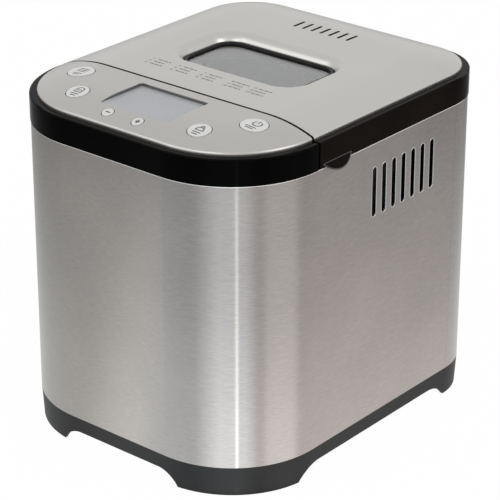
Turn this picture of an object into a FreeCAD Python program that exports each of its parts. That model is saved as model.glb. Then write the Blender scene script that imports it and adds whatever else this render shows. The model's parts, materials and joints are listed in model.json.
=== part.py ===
import FreeCAD, Part
import math
import os
import re
import Sketcher
from FreeCAD import Placement, Rotation, Vector

# A bread machine in millimetres. The origin is on the table under the middle of the body,
# +Z is up, the control panel faces -Y and the lid is hinged at the rear.

SIZES = {
    # Body outline and heights
    "body_width": 260.0,
    "body_depth": 308.0,
    "front_corner": 80.0,
    "rear_corner": 50.0,
    "foot_drop": 1.2,
    "arch_height": 13.1,
    "base_height": 25.8,
    "base_draft": 1.4,
    "shell_height": 233.2,
    "band_height": 21.1,
    "band_proud": 0.6,
    "band_round": 1.2,
    "crown_rise": 10.7,
    "crown_run": 40.0,
    "crown_drop": 7.0,
    "plate_inset": 5.5,
    "lip_round": 2.4,
    "panel_depth": 83.5,
    "split_gap": 2.4,
    # Sheet and moulding thicknesses
    "shell_wall": 0.8,
    "shell_seam": 0.1,
    "plate_sheet": 0.8,
    "base_wall": 2.6,
    "floor_thick": 2.5,
    "deck_thick": 3.0,
    "deck_skirt": 14.0,
    "deck_bite": 2.1,
    "frame_wall": 2.6,
    "ledge_thick": 2.4,
    "ledge_width": 16.0,
    # Clearances
    "fit_gap": 0.3,
    "seam_gap": 0.3,
    "run_gap": 0.05,
    "drill_gap": 0.05,
    # Base feet and arches
    "front_arch_low": 60.0,
    "front_arch_high": 41.0,
    "side_arch_low": 95.0,
    "side_arch_high": 72.0,
    "side_arch_centre": 8.0,
    "pad_radius": 9.0,
    "pad_height": 4.0,
    "pad_boss_wall": 2.5,
    "pad_side_inset": 38.0,
    "pad_front_inset": 42.0,
    "pad_rear_inset": 30.0,
    "lip_height": 6.0,
    "lip_wall": 2.0,
    # Side air slots
    "slot_count": 7,
    "slot_pitch": 12.33,
    "slot_first": -1.6,
    "slot_width": 5.4,
    "slot_length": 41.0,
    "slot_middle": 193.0,
    "slot_rim": 0.8,
    "slot_rim_depth": 0.6,
    # Oven chamber
    "chamber_width": 176.0,
    "chamber_front_gap": 20.5,
    "chamber_corner": 12.0,
    "chamber_rear_gap": 36.0,
    "chamber_wall": 0.8,
    "chamber_low": 64.6,
    "chamber_flange": 9.0,
    "shaft_port": 9.5,
    # Bread pan and its handle
    "pan_width": 136.0,
    "pan_side_gap": 25.0,
    "pan_corner": 24.0,
    "pan_low": 84.6,
    "pan_height": 122.0,
    "pan_wall": 1.5,
    "pan_rim": 3.5,
    "pan_seat_gap": 0.2,
    "foot_ring_radius": 41.6,
    "foot_ring_wall": 1.6,
    "socket_wall": 5.0,
    "socket_height": 12.0,
    "handle_wire": 2.2,
    "handle_clear": 15.5,
    "handle_drop": 14.0,
    "handle_bend": 9.0,
    "handle_grip_radius": 4.0,
    "handle_grip_length": 70.0,
    "ear_radius": 5.5,
    # Drive line
    "shaft_radius": 5.0,
    "bush_wall": 2.5,
    "bush_length": 7.0,
    "housing_radius": 20.0,
    "coupler_radius": 16.0,
    "coupler_thick": 4.0,
    "coupler_lift": 2.0,
    "coupler_gap": 0.5,
    "coupler_hub": 8.0,
    "lug_inner": 9.0,
    "lug_height": 6.0,
    "lug_width": 7.0,
    "wing_thick": 5.0,
    "wing_width": 6.0,
    "pan_bearing_radius": 9.0,
    "bearing_collar": 3.0,
    "bearing_drop": 4.0,
    "paddle_hub": 10.0,
    "paddle_height": 27.0,
    "paddle_lift": 1.2,
    "paddle_clear": 19.0,
    "paddle_blade": 5.0,
    "paddle_cap": 3.0,
    "pulley_radius": 50.0,
    "pulley_width": 14.0,
    "pulley_flange": 2.5,
    "pulley_lip": 1.5,
    "pulley_rim": 6.0,
    "pulley_web": 5.0,
    "pulley_hub": 11.0,
    "motor_pulley_radius": 10.0,
    "belt_thick": 2.2,
    "belt_low_gap": 7.0,
    "bracket_gap": 4.0,
    "bracket_thick": 2.5,
    "bracket_half_width": 46.0,
    "bracket_margin": 9.0,
    # Motor
    "motor_inset": 50.0,
    "motor_radius": 36.0,
    "motor_height": 80.0,
    "motor_wall": 3.0,
    "motor_plate": 7.0,
    "motor_shaft_radius": 4.0,
    "rotor_radius": 20.0,
    "rotor_gap": 0.6,
    "rotor_height": 40.0,
    "motor_screw_ring": 27.0,
    # Heater and probe
    "heater_tube": 3.2,
    "heater_side_gap": 12.0,
    "heater_height": 81.6,
    "heater_bend": 30.0,
    "heater_leg": 16.0,
    "heater_leg_bend": 8.0,
    "heater_tail": 16.0,
    "heater_bush": 6.0,
    "heater_bush_lip": 1.5,
    "heater_bush_reach": 5.0,
    "support_width": 7.0,
    "probe_radius": 2.5,
    "probe_side": 40.0,
    "probe_height": 122.6,
    "probe_reach": 12.0,
    "probe_head": 6.0,
    "probe_head_length": 9.0,
    # Hinge
    "hinge_out": 1.0,
    "hinge_up": 6.0,
    "hinge_side": 58.0,
    "hinge_radius": 4.0,
    "hinge_pin": 2.0,
    "ear_width": 12.0,
    "knuckle_width": 9.0,
    "knuckle_gap": 0.4,
    "ear_root": 11.0,
    # Lid
    "window_width": 137.0,
    "window_depth": 85.0,
    "window_corner": 27.0,
    "window_inset": 87.5,
    "window_roll": 10.0,
    "window_ring": 2.4,
    "window_flange": 5.0,
    "glass_thick": 3.0,
    "glass_depth": 7.2,
    "glass_land": 1.4,
    "collar_depth": 5.2,
    "vent_count": 7,
    "vent_pitch": 9.0,
    "vent_width": 2.6,
    "vent_length": 15.0,
    "vent_inset": 52.0,
    "liner_sheet": 0.8,
    "liner_flange_lift": 3.0,
    "liner_rise": 8.0,
    "liner_margin": 9.0,
    "seal_width": 4.0,
    "liner_boss": 4.0,
    "liner_boss_inset": 10.0,
    "liner_boss_gap": 20.5,
    "liner_boss_rear_gap": 66.0,
    "tab_centre": 49.0,
    "tab_half_length": 17.0,
    "tab_hang": 4.6,
    "tab_rise": 2.4,
    "tab_flare": 4.2,
    # Control panel
    "display_width": 68.0,
    "display_depth": 46.5,
    "display_corner": 2.0,
    "display_inset": 49.0,
    "display_rim": 2.0,
    "module_thick": 6.1,
    "lens_thick": 2.2,
    "big_button": 10.6,
    "big_button_edge": 42.8,
    "big_button_inset": 61.0,
    "mid_button": 9.0,
    "mid_button_edge": 68.8,
    "mid_button_inset": 30.0,
    "small_button": 4.6,
    "small_button_side": 15.0,
    "small_button_inset": 17.5,
    "small_button_shift": -3.4,
    "button_proud": 0.3,
    "button_gap": 0.6,
    "button_travel": 1.0,
    "button_flange": 1.2,
    "button_stem": 3.0,
    "board_drop": 11.4,
    "board_thick": 1.6,
    "board_inset": 13.0,
    "board_rear_gap": 8.0,
    "switch_side": 6.2,
    "switch_height": 3.8,
    "board_boss": 3.6,
    "board_boss_edge": 54.0,
    "board_boss_inset": 40.0,
    "board_boss_gap": 13.5,
    # Power electrics
    "power_board_width": 58.0,
    "power_board_depth": 64.0,
    "power_board_edge": 46.0,
    "power_board_inset": 88.0,
    "power_board_lift": 8.0,
    "power_post": 3.2,
    "power_post_inset": 5.0,
    "transformer_width": 32.0,
    "transformer_depth": 27.0,
    "transformer_height": 25.0,
    "relay_width": 16.0,
    "relay_depth": 19.0,
    "relay_height": 15.0,
    "capacitor_radius": 16.0,
    "capacitor_height": 52.0,
    "capacitor_edge": 46.0,
    "capacitor_inset": 84.0,
    # Fasteners and cord gland
    "screw_shank": 1.5,
    "screw_head": 3.2,
    "screw_head_height": 2.2,
    "screw_grip": 7.0,
    "post_radius": 6.0,
    "gland_side": 60.0,
    "gland_height": 48.6,
    "gland_radius": 7.0,
    "gland_flange": 2.4,
    "gland_flange_thick": 2.5,
    "gland_bore": 3.6,
}

# Heights and places that follow from the sizes above.
LEVELS = {
    "half_width": "body_width / 2",
    "half_depth": "body_depth / 2",
    "split_front": "half_depth - panel_depth",
    "display_front": "half_depth - display_inset",
    "big_button_side": "half_width - big_button_edge",
    "big_button_front": "half_depth - big_button_inset",
    "mid_button_side": "half_width - mid_button_edge",
    "mid_button_front": "half_depth - mid_button_inset",
    "small_button_front": "half_depth - small_button_inset",
    "board_boss_side": "half_width - board_boss_edge",
    "board_boss_front": "half_depth - board_boss_inset",
    "board_boss_rear": "split_front + board_boss_gap",
    "chamber_depth": "half_depth + split_front - chamber_front_gap - chamber_rear_gap",
    "chamber_centre": "half_depth - chamber_rear_gap - chamber_depth / 2",
    "pan_depth": "chamber_depth - 2 * pan_side_gap",
    "paddle_span": "pan_depth / 2 - paddle_hub - paddle_clear",
    "handle_reach": "chamber_depth / 2 - handle_clear",
    "window_centre": "window_inset - split_front",
    "vent_centre": "half_depth - vent_inset",
    "liner_boss_front": "split_front - liner_boss_gap",
    "pad_front": "half_depth - pad_front_inset",
    "pad_rear": "half_depth - pad_rear_inset",
    "pad_reach_x": "half_width - pad_side_inset",
    "motor_front": "half_depth - motor_inset",
    "power_board_front": "half_depth - power_board_inset",
    "power_board_side": "half_width - power_board_edge",
    "capacitor_front": "half_depth - capacitor_inset",
    "capacitor_side": "half_width - capacitor_edge",
    "liner_boss_rear": "half_depth - liner_boss_rear_gap",
    "floor_top": "arch_height + floor_thick",
    "shell_high": "base_height + shell_height",
    "band_high": "shell_high + band_height",
    "crown_top": "band_high + crown_rise",
    "lid_front": "-split_front + split_gap / 2",
    "panel_rear": "-split_front - split_gap / 2",
    "deck_under": "shell_high - deck_thick",
    "tray_under": "band_high - ledge_thick",
    "chamber_floor": "chamber_low + chamber_wall",
    "chamber_front": "chamber_centre - chamber_depth / 2",
    "chamber_rear": "chamber_centre + chamber_depth / 2",
    "pan_floor": "pan_low + pan_wall",
    "pan_top": "pan_low + pan_height",
    "handle_pivot": "pan_top - handle_drop",
    "handle_arm": "pan_width / 2 + pan_rim + handle_wire + 1.5 * fit_gap",
    "belt_low": "floor_top + belt_low_gap",
    "belt_high": "belt_low + pulley_width",
    "bracket_low": "belt_high + bracket_gap",
    "bracket_top": "bracket_low + bracket_thick",
    "bracket_front": "-motor_front - motor_radius",
    "bracket_rear": "chamber_centre + pulley_radius + 2 * bracket_margin",
    "coupler_low": "chamber_floor + coupler_lift",
    "coupler_top": "coupler_low + coupler_thick",
    "hinge_y": "half_depth + hinge_out",
    "hinge_z": "shell_high + hinge_up",
    "knuckle_start": "ear_width / 2 + knuckle_gap",
    "liner_low": "shell_high + liner_flange_lift",
    "liner_top": "liner_low + liner_rise",
    "boss_side": "half_width - liner_boss_inset",
    "glass_top": "crown_top - glass_depth",
    "glass_low": "glass_top - glass_thick",
    "hole_width": "window_width - 2 * window_roll",
    "hole_depth": "window_depth - 2 * window_roll",
    "hole_corner": "window_corner - window_roll",
    "board_top": "tray_under - board_drop",
    "board_low": "board_top - board_thick",
    "switch_top": "board_top + switch_height",
    "stem_low": "switch_top + button_travel + fit_gap",
    "cap_low": "band_high + button_travel + fit_gap",
    "power_board_low": "floor_top + power_board_lift",
    "power_board_top": "power_board_low + board_thick",
    "heater_half_x": "chamber_width / 2 - heater_side_gap",
    "heater_half_y": "chamber_depth / 2 - heater_side_gap",
    "post_front": "bracket_front + bracket_margin",
    "post_rear": "bracket_rear - bracket_margin",
    "post_side": "bracket_half_width - bracket_margin",
}

WORD = re.compile(r"[a-z][a-z_]*")

doc = FreeCAD.newDocument("bread_machine")


def make_sheet(name, cells, formula):
    table = doc.addObject("Spreadsheet::Sheet", name)
    for row, (alias, entry) in enumerate(cells.items(), start=1):
        table.set(f"A{row}", alias)
        table.set(f"B{row}", f"={formula(entry)}" if formula else str(entry))
        table.setAlias(f"B{row}", alias)
    return table


def bound(expression):
    """The expression with each size name given its sheet."""

    def with_sheet(match):
        word = match.group(0)
        if word in SIZES:
            return f"Sizes.{word}"
        if word in LEVELS:
            return f"Levels.{word}"
        return word

    return WORD.sub(with_sheet, str(expression))


sizes = make_sheet("Sizes", SIZES, None)
levels = make_sheet("Levels", LEVELS, bound)
doc.recompute()


def number(expression):
    """The present value of an expression, in millimetres."""
    return float(sizes.evalExpression(bound(expression)))


PIECES = []


def piece(label, shape_object):
    """Name an object as a finished sub-part of the machine."""
    shape_object.Label = label
    PIECES.append(shape_object)
    return shape_object


def bind(target, **expressions):
    for prop, expression in expressions.items():
        target.setExpression(prop, bound(expression))


def put(target, x=0, y=0, z=0):
    for axis, expression in zip("xyz", (x, y, z)):
        target.setExpression(f"Placement.Base.{axis}", bound(expression))
    return target


def box(x0, x1, y0, y1, z0, z1):
    block = doc.addObject("Part::Box", "Block")
    bind(block, Length=f"({x1}) - ({x0})", Width=f"({y1}) - ({y0})", Height=f"({z1}) - ({z0})")
    return put(block, x0, y0, z0)


TURNS = {
    "z": Rotation(),
    "x": Rotation(Vector(0, 1, 0), 90),
    "y": Rotation(Vector(1, 0, 0), -90),
}


def rod(radius, start, end, x=0, y=0, z=0, along="z"):
    """A cylinder from start to end along one axis, at the given place across it."""
    solid = doc.addObject("Part::Cylinder", "Rod")
    solid.Placement = Placement(Vector(), TURNS[along])
    bind(solid, Radius=radius, Height=f"({end}) - ({start})")
    place = {"x": x, "y": y, "z": z}
    place[along] = start
    return put(solid, **place)


def group(parts):
    bundle = doc.addObject("Part::Compound", "Group")
    bundle.Links = parts
    return bundle


def fuse(*parts):
    joined = doc.addObject("Part::MultiFuse", "Joined")
    joined.Shapes = list(parts)
    joined.Refine = True
    return joined


def cut(base, *tools):
    result = doc.addObject("Part::Cut", "Trimmed")
    result.Base = base
    result.Tool = tools[0] if len(tools) == 1 else fuse(*tools)
    return result


def common(first, second):
    shared = doc.addObject("Part::Common", "Shared")
    shared.Base = first
    shared.Tool = second
    return shared


def plane_of(body, role):
    return next(item for item in body.Origin.OriginFeatures if item.Role == role)


def attach(body, sketch, role):
    sketch.AttachmentSupport = [(plane_of(body, role), "")]
    sketch.MapMode = "FlatFace"


def rounded_sketch(body, left, right, front, rear, front_radius, rear_radius):
    """An outline of four straight sides with tangent corner arcs."""
    sketch = body.newObject("Sketcher::SketchObject", "Outline")
    attach(body, sketch, "XY_Plane")
    x0, x1, y0, y1 = (number(side) for side in (left, right, front, rear))
    rf, rr = number(front_radius), number(rear_radius)
    corners = [(x1 - rf, y0 + rf, rf, -90), (x1 - rr, y1 - rr, rr, 0)]
    corners += [(x0 + rr, y1 - rr, rr, 90), (x0 + rf, y0 + rf, rf, 180)]
    arcs = []
    for cx, cy, radius, start in corners:
        circle = Part.Circle(Vector(cx, cy, 0), Vector(0, 0, 1), radius)
        arcs.append(Part.ArcOfCircle(circle, math.radians(start), math.radians(start + 90)))
    for index, arc in enumerate(arcs):
        sketch.addGeometry(Part.LineSegment(arcs[index - 1].EndPoint, arc.StartPoint), False)
        sketch.addGeometry(arc, False)
    for index in range(8):
        sketch.addConstraint(Sketcher.Constraint("Tangent", index, 2, (index + 1) % 8, 1))
    for index in (0, 4):
        sketch.addConstraint(Sketcher.Constraint("Horizontal", index))
        sketch.addConstraint(Sketcher.Constraint("Vertical", index + 2))
    for index, radius in ((1, front_radius), (3, rear_radius), (5, rear_radius), (7, front_radius)):
        row = sketch.addConstraint(Sketcher.Constraint("Radius", index, number(radius)))
        sketch.setExpression(f"Constraints[{row}]", bound(radius))
    sides = (("DistanceX", 2, right), ("DistanceX", 6, left), ("DistanceY", 0, front), ("DistanceY", 4,
                                                                                        rear))
    for kind, index, place in sides:
        row = sketch.addConstraint(Sketcher.Constraint(kind, -1, 1, index, 1, number(place)))
        sketch.setExpression(f"Constraints[{row}]", bound(place))
    return sketch


def rounded_pad(left, right, front, rear, low, high, front_radius, rear_radius=None):
    """A body padded from a rounded outline between two heights."""
    body = doc.addObject("PartDesign::Body", "Body")
    sketch = rounded_sketch(body, left, right, front, rear, front_radius, rear_radius or front_radius)
    sketch.setExpression("AttachmentOffset.Base.z", bound(low))
    pad = body.newObject("PartDesign::Pad", "Pad")
    pad.Profile = sketch
    bind(pad, Length=f"({high}) - ({low})")
    return body


def outline_edges(inset):
    """The sides and corner radii of the body's outline, moved in by the inset."""
    sides = (f"-half_width + ({inset})", f"half_width - ({inset})")
    ends = (f"-half_depth + ({inset})", f"half_depth - ({inset})")
    return (*sides, *ends), (f"front_corner - ({inset})", f"rear_corner - ({inset})")


def outline_pad(inset, low, high):
    sides, radii = outline_edges(inset)
    return rounded_pad(*sides, low, high, *radii)


def centred_pad(width, depth, centre, low, high, corner):
    """A rounded block whose middle lies on the machine's centre plane."""
    half = f"({width}) / 2"
    ends = (f"({centre}) - ({depth}) / 2", f"({centre}) + ({depth}) / 2")
    return rounded_pad(f"-{half}", half, *ends, low, high, corner)


def turned(profile, x=0, y=0):
    """A body turned about a vertical axis from a profile of radius and height pairs."""
    body = doc.addObject("PartDesign::Body", "Body")
    sketch = body.newObject("Sketcher::SketchObject", "Profile")
    attach(body, sketch, "XZ_Plane")
    corners = [Vector(number(radius), number(height), 0) for radius, height in profile]
    for index, corner in enumerate(corners):
        sketch.addGeometry(Part.LineSegment(corner, corners[(index + 1) % len(corners)]), False)
    for index in range(len(corners)):
        link = Sketcher.Constraint("Coincident", index, 2, (index + 1) % len(corners), 1)
        sketch.addConstraint(link)
    for index, pair in enumerate(profile):
        for kind, expression in zip(("DistanceX", "DistanceY"), pair):
            row = sketch.addConstraint(Sketcher.Constraint(kind, -1, 1, index, 1, number(expression)))
            sketch.setExpression(f"Constraints[{row}]", bound(expression))
    lathe = body.newObject("PartDesign::Revolution", "Turned")
    lathe.Profile = sketch
    lathe.ReferenceAxis = (sketch, ["V_Axis"])
    lathe.Angle = 360
    return put(body, x, y)


def ring(outer, inner, low, high, x=0, y=0):
    return turned([(inner, low), (outer, low), (outer, high), (inner, high)], x, y)


def feature(shape):
    """Geometry that needs its own construction, made from the sheet's present values."""
    solid = doc.addObject("Part::Feature", "Formed")
    solid.Shape = shape
    return solid


def stadium(half_width, half_length, low, high, x, y):
    """An upright block with round ends, long in Y."""
    corner = f"({half_width}) - run_gap / 10"
    sides = (f"({x}) - ({half_width})", f"({x}) + ({half_width})")
    ends = (f"({y}) - ({half_length})", f"({y}) + ({half_length})")
    return rounded_pad(*sides, *ends, low, high, corner)


def screws(places, seat, reach, up):
    """Identical screws whose heads bear on the seat, with shanks running up or down."""
    made = []
    for x, y in places:
        if up:
            head = rod("screw_head", f"({seat}) - screw_head_height", seat, x, y)
            shank = rod("screw_shank", seat, f"({seat}) + ({reach})", x, y)
        else:
            head = rod("screw_head", seat, f"({seat}) + screw_head_height", x, y)
            shank = rod("screw_shank", f"({seat}) - ({reach})", seat, x, y)
        made.append(fuse(head, shank))
    return group(made)


def drilled(places, low, high, radius="screw_shank + drill_gap"):
    return [rod(radius, low, high, x, y) for x, y in places]


def quad(side, front, rear):
    """Four places, mirrored left and right."""
    return [(f"-({side})", front), (side, front), (f"-({side})", rear), (side, rear)]


# Base tray, feet and pads
PAD_PLACES = quad("pad_reach_x", "-pad_front", "pad_rear")
POST_PLACES = quad("post_side", "post_front", "post_rear")
POWER_SIDES = ("power_board_side - power_board_width / 2 + power_post_inset",
               "power_board_side + power_board_width / 2 - power_post_inset")
POWER_ENDS = ("-power_board_front - power_board_depth / 2 + power_post_inset",
              "-power_board_front + power_board_depth / 2 - power_post_inset")
POWER_PLACES = [(x, y) for x in POWER_SIDES for y in POWER_ENDS]


def drafted_base():
    """The base's outside, drawn in evenly towards the table."""
    body = doc.addObject("PartDesign::Body", "Body")
    sections = []
    for inset, height in (("base_draft", "foot_drop"), ("0", "base_height")):
        sides, radii = outline_edges(inset)
        sketch = rounded_sketch(body, *sides, *radii)
        sketch.setExpression("AttachmentOffset.Base.z", bound(height))
        sections.append(sketch)
    loft = body.newObject("PartDesign::AdditiveLoft", "Draft")
    loft.Profile = sections[0]
    loft.Sections = [sections[1]]
    loft.Ruled = True
    return body


def arch(low, high, length, centre, turn):
    """A block whose flanks curve in to a flat top, for one pair of foot arches."""
    half_low, half_high, rise = number(low), number(high), number("arch_height - foot_drop")
    start, level = -number(length) / 2, number("foot_drop")
    run = half_low - half_high
    radius = (run * run + rise * rise) / (2 * rise)
    lean = math.asin(run / radius) / 2

    def flank(side):
        """The points up one flank: under the foot, at its end, along the curve and at the top."""
        places = [(half_low, -rise), (half_low, 0), (half_high, rise)]
        places.insert(2, (half_high + radius * math.sin(lean), rise - radius * (1 - math.cos(lean))))
        return [Vector(side * across, start, level + height) for across, height in places]

    right, left = flank(1), flank(-1)
    edges = [Part.LineSegment(left[0], right[0]), Part.LineSegment(right[0], right[1]),
             Part.Arc(*right[1:])]
    edges += [Part.LineSegment(right[3], left[3]), Part.Arc(*left[:0:-1]), Part.LineSegment(left[1],
                                                                                            left[0])]
    face = Part.Face(Part.Wire([edge.toShape() for edge in edges]))
    block = feature(face.extrude(Vector(0, -2 * start, 0)))
    block.Placement = Placement(Vector(0, number(centre), 0), Rotation(Vector(0, 0, 1), turn))
    return block


def base_tray():
    inside = "base_draft + base_wall"
    outer = drafted_base()
    room = outline_pad(inside, "floor_top", "base_height + lip_height")
    under = outline_pad(inside, "foot_drop - arch_height", "arch_height")
    front_arch = arch("front_arch_low", "front_arch_high", "body_depth + base_height", "0", 0)
    side_arch = arch("side_arch_low", "side_arch_high", "body_width + base_height", "side_arch_centre", 90)
    tray = cut(outer, room, under, front_arch, side_arch)
    lip_inset = "shell_wall + fit_gap"
    lip_block = outline_pad(lip_inset, "floor_top", "base_height + lip_height")
    lip_room = outline_pad(f"{lip_inset} + lip_wall", "arch_height", "base_height + 2 * lip_height")
    foot_core = outline_pad("base_draft", "foot_drop", "base_height + lip_height")
    lip = cut(common(lip_block, foot_core), lip_room)
    bosses = [rod("pad_radius + pad_boss_wall", "foot_drop", "floor_top", x, y) for x, y in PAD_PLACES]
    posts = [rod("post_radius", "arch_height", "bracket_low", x, y) for x, y in POST_PLACES]
    stands = [rod("power_post", "arch_height", "power_board_low", x, y) for x, y in POWER_PLACES]
    whole = fuse(tray, lip, *bosses, *posts, *stands)
    seats = drilled(PAD_PLACES, "-foot_drop", "pad_height + fit_gap / 2", "pad_radius + fit_gap / 2")
    holes = drilled(POST_PLACES, "bracket_low - screw_grip", "bracket_low + post_radius")
    piece("base_tray", cut(whole, *seats, *holes))
    piece("foot_pads", group([rod("pad_radius", "0", "pad_height", x, y) for x, y in PAD_PLACES]))


# Body shell with its pressed side slots
def slot_row(grow, inner, outer):
    """One row of upright slots through the side wall between two distances from the centre plane."""
    body = doc.addObject("PartDesign::Body", "Body")
    sketch = rounded_side_sketch(body, f"slot_width / 2 + ({grow})", f"slot_length / 2 + ({grow})")
    sketch.setExpression("AttachmentOffset.Base.z", bound(inner))
    pad = body.newObject("PartDesign::Pad", "Pad")
    pad.Profile = sketch
    bind(pad, Length=f"({outer}) - ({inner})")
    row = body.newObject("PartDesign::LinearPattern", "Row")
    row.Originals = [pad]
    row.Direction = (sketch, ["H_Axis"])
    bind(row, Length="slot_pitch * (slot_count - 1)", Occurrences="slot_count")
    body.Tip = row
    return body


def rounded_side_sketch(body, half_width, half_length):
    """A slot outline with round ends on the side of the body, at the first slot's place."""
    sketch = body.newObject("Sketcher::SketchObject", "Slot")
    attach(body, sketch, "YZ_Plane")
    y, z = number("slot_first"), number("base_height + slot_middle")
    half, reach = number(half_width), number(f"({half_length}) - ({half_width})")
    ends = []
    for height, start in ((z + reach, 0), (z - reach, 180)):
        circle = Part.Circle(Vector(y, height, 0), Vector(0, 0, 1), half)
        ends.append(Part.ArcOfCircle(circle, math.radians(start), math.radians(start + 180)))
    sketch.addGeometry(ends[0], False)
    sketch.addGeometry(Part.LineSegment(ends[0].EndPoint, ends[1].StartPoint), False)
    sketch.addGeometry(ends[1], False)
    sketch.addGeometry(Part.LineSegment(ends[1].EndPoint, ends[0].StartPoint), False)
    for index in range(4):
        sketch.addConstraint(Sketcher.Constraint("Tangent", index, 2, (index + 1) % 4, 1))
    sketch.addConstraint(Sketcher.Constraint("Vertical", 1))
    row = sketch.addConstraint(Sketcher.Constraint("Radius", 0, half))
    sketch.setExpression(f"Constraints[{row}]", bound(half_width))
    middle = "base_height + slot_middle"
    span = f"({half_length}) - ({half_width})"
    places = (("DistanceX", 0, "slot_first"), ("DistanceY", 0, f"{middle} + {span}"))
    for kind, index, place in places + (("DistanceY", 2, f"{middle} - ({span})"),):
        row = sketch.addConstraint(Sketcher.Constraint(kind, -1, 1, index, 3, number(place)))
        sketch.setExpression(f"Constraints[{row}]", bound(place))
    return sketch


def body_shell():
    """A front wrap with the slotted sides and a rear wrap, meeting in a hairline seam on each side."""
    outside = outline_pad("0", "base_height", "shell_high")
    inside = outline_pad("shell_wall", "base_height - shell_wall", "shell_high + shell_wall")
    wall = cut(outside, inside)
    rim_in = "half_width - shell_wall - slot_rim_depth"
    rims = [slot_row("slot_rim", rim_in, "half_width - shell_wall / 2")]
    rims.append(slot_row("slot_rim", "-half_width + shell_wall / 2", f"-({rim_in})"))
    slots = slot_row("0", "-body_width", "body_width")
    gland_hole = rod("gland_radius + run_gap", "half_depth - gland_radius", "half_depth + gland_radius",
                     x="-gland_side", z="gland_height", along="y")
    joint = "half_depth - rear_corner"
    seam = box("-body_width", "body_width", f"{joint} - shell_seam / 2", f"{joint} + shell_seam / 2",
               "base_height - shell_wall", "shell_high + shell_wall")
    piece("body_shell", cut(fuse(wall, *rims), slots, gland_hole, seam))


def cord_gland():
    """A snap-in grommet with a groove that the rear wall sits in."""
    inner_face = "half_depth - shell_wall"
    inner_end = f"{inner_face} - gland_flange_thick"
    outer_end = "half_depth + gland_flange_thick"

    def section(radius, start, end):
        return rod(radius, start, end, x="-gland_side", z="gland_height", along="y")

    outer = section("gland_radius + gland_flange", "half_depth + run_gap", outer_end)
    neck = section("gland_radius", inner_end, outer_end)
    barb = section("gland_radius + gland_flange", inner_end, f"{inner_face} - run_gap")
    bore = section("gland_bore", f"{inner_end} - gland_bore", f"{outer_end} + gland_bore")
    piece("cord_gland", cut(fuse(outer, neck, barb), bore))


# Top deck with the fixed half of the hinge
CHAMBER_SCREWS = quad("chamber_width / 2 + chamber_flange / 2", "chamber_centre - chamber_depth / 4",
                      "chamber_centre + chamber_depth / 4")


def hinge_sides():
    return ("-hinge_side", "hinge_side")


def top_deck():
    inset = "shell_wall + fit_gap"
    block = outline_pad(inset, "shell_high - deck_skirt", "shell_high")
    hollow = outline_pad(f"{inset} + frame_wall", "shell_high - 2 * deck_skirt", "deck_under")
    mouth = centred_pad("chamber_width", "chamber_depth", "chamber_centre", "deck_under - deck_skirt",
                        "shell_high + deck_skirt", "chamber_corner")
    ears = []
    bores = drilled(CHAMBER_SCREWS, "deck_under - deck_thick", "deck_under + deck_bite + fit_gap")
    for side in hinge_sides():
        left, right = f"{side} - ear_width / 2", f"{side} + ear_width / 2"
        root = "half_depth - ear_root"
        arm = box(left, right, root, "hinge_y", "shell_high + seam_gap", "hinge_z")
        foot = box(left, right, root, "half_depth - shell_wall - 2 * fit_gap", "deck_under", "hinge_z")
        eye = rod("hinge_radius", left, right, y="hinge_y", z="hinge_z", along="x")
        ears += [arm, foot, eye]
        bores.append(rod("hinge_pin + run_gap", f"{left} - knuckle_width", f"{right} + knuckle_width",
                         y="hinge_y", z="hinge_z", along="x"))
    piece("top_deck", cut(fuse(cut(block, hollow, mouth), *ears), *bores))


def hinge_pins():
    reach = "knuckle_start + knuckle_width"
    pins = [rod("hinge_pin", f"{side} - ({reach})", f"{side} + ({reach})", y="hinge_y", z="hinge_z",
                along="x")
            for side in hinge_sides()]
    piece("hinge_pins", group(pins))


# Crowned steel cover plates over the lid and the panel
def rounded_face(left, right, front, rear, front_radius, rear_radius):
    """A flat face with rounded corners. A corner of no radius stays sharp."""
    corners = [(right, front, front_radius, -1, 1), (right, rear, rear_radius, -1, -1)]
    corners += [(left, rear, rear_radius, 1, -1), (left, front, front_radius, 1, 1)]
    runs = []
    for index, (x, y, radius, inward_x, inward_y) in enumerate(corners):
        hub = Vector(x + inward_x * radius, y + inward_y * radius, 0)
        ends = [Vector(hub.x, y, 0), Vector(x, hub.y, 0)]
        start, end = ends if index % 2 == 0 else reversed(ends)
        middle = hub - Vector(inward_x, inward_y, 0) * (radius / math.sqrt(2))
        runs.append((start, middle, end, radius))
    edges = []
    for index, (start, middle, end, radius) in enumerate(runs):
        edges.append(Part.LineSegment(runs[index - 1][2], start).toShape())
        if radius > 0:
            edges.append(Part.Arc(start, middle, end).toShape())
    return Part.Face(Part.Wire(edges))


def crown_section(offset):
    """The cover's edge in section: a lip, its rounding and the crown, measured in from the outline."""
    run, drop = number("crown_run"), number("crown_drop")
    crown_radius = (run ** 2 + drop ** 2) / (2 * drop) - offset
    lip = number("lip_round") - offset
    edge = number("plate_inset") + offset
    flat = number("plate_inset + lip_round + crown_run")
    low = number("band_high") - max(offset, 0)
    top = number("crown_top") - offset
    crown_hub = Vector(flat, 0, top - crown_radius)
    rise = math.sqrt((crown_radius - lip) ** 2 - (flat - edge - lip) ** 2)
    lip_hub = Vector(edge + lip, 0, crown_hub.z + rise)
    joint = crown_hub + (lip_hub - crown_hub).normalize() * crown_radius

    def arc(hub, radius, start, end):
        toward = ((start - hub).normalize() + (end - hub).normalize()).normalize()
        return Part.Arc(start, hub + toward * radius, end).toShape()

    def line(start, end):
        return Part.LineSegment(start, end).toShape()

    lip_start, crest = Vector(edge, 0, lip_hub.z), Vector(flat, 0, top)
    inner_foot, outer_foot = Vector(flat, 0, low), Vector(edge, 0, low)
    edges = [line(inner_foot, outer_foot), line(outer_foot, lip_start), arc(lip_hub, lip, lip_start, joint)]
    edges += [arc(crown_hub, crown_radius, joint, crest), line(crest, inner_foot)]
    return Part.Face(Part.Wire(edges)), flat, low, top


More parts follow.
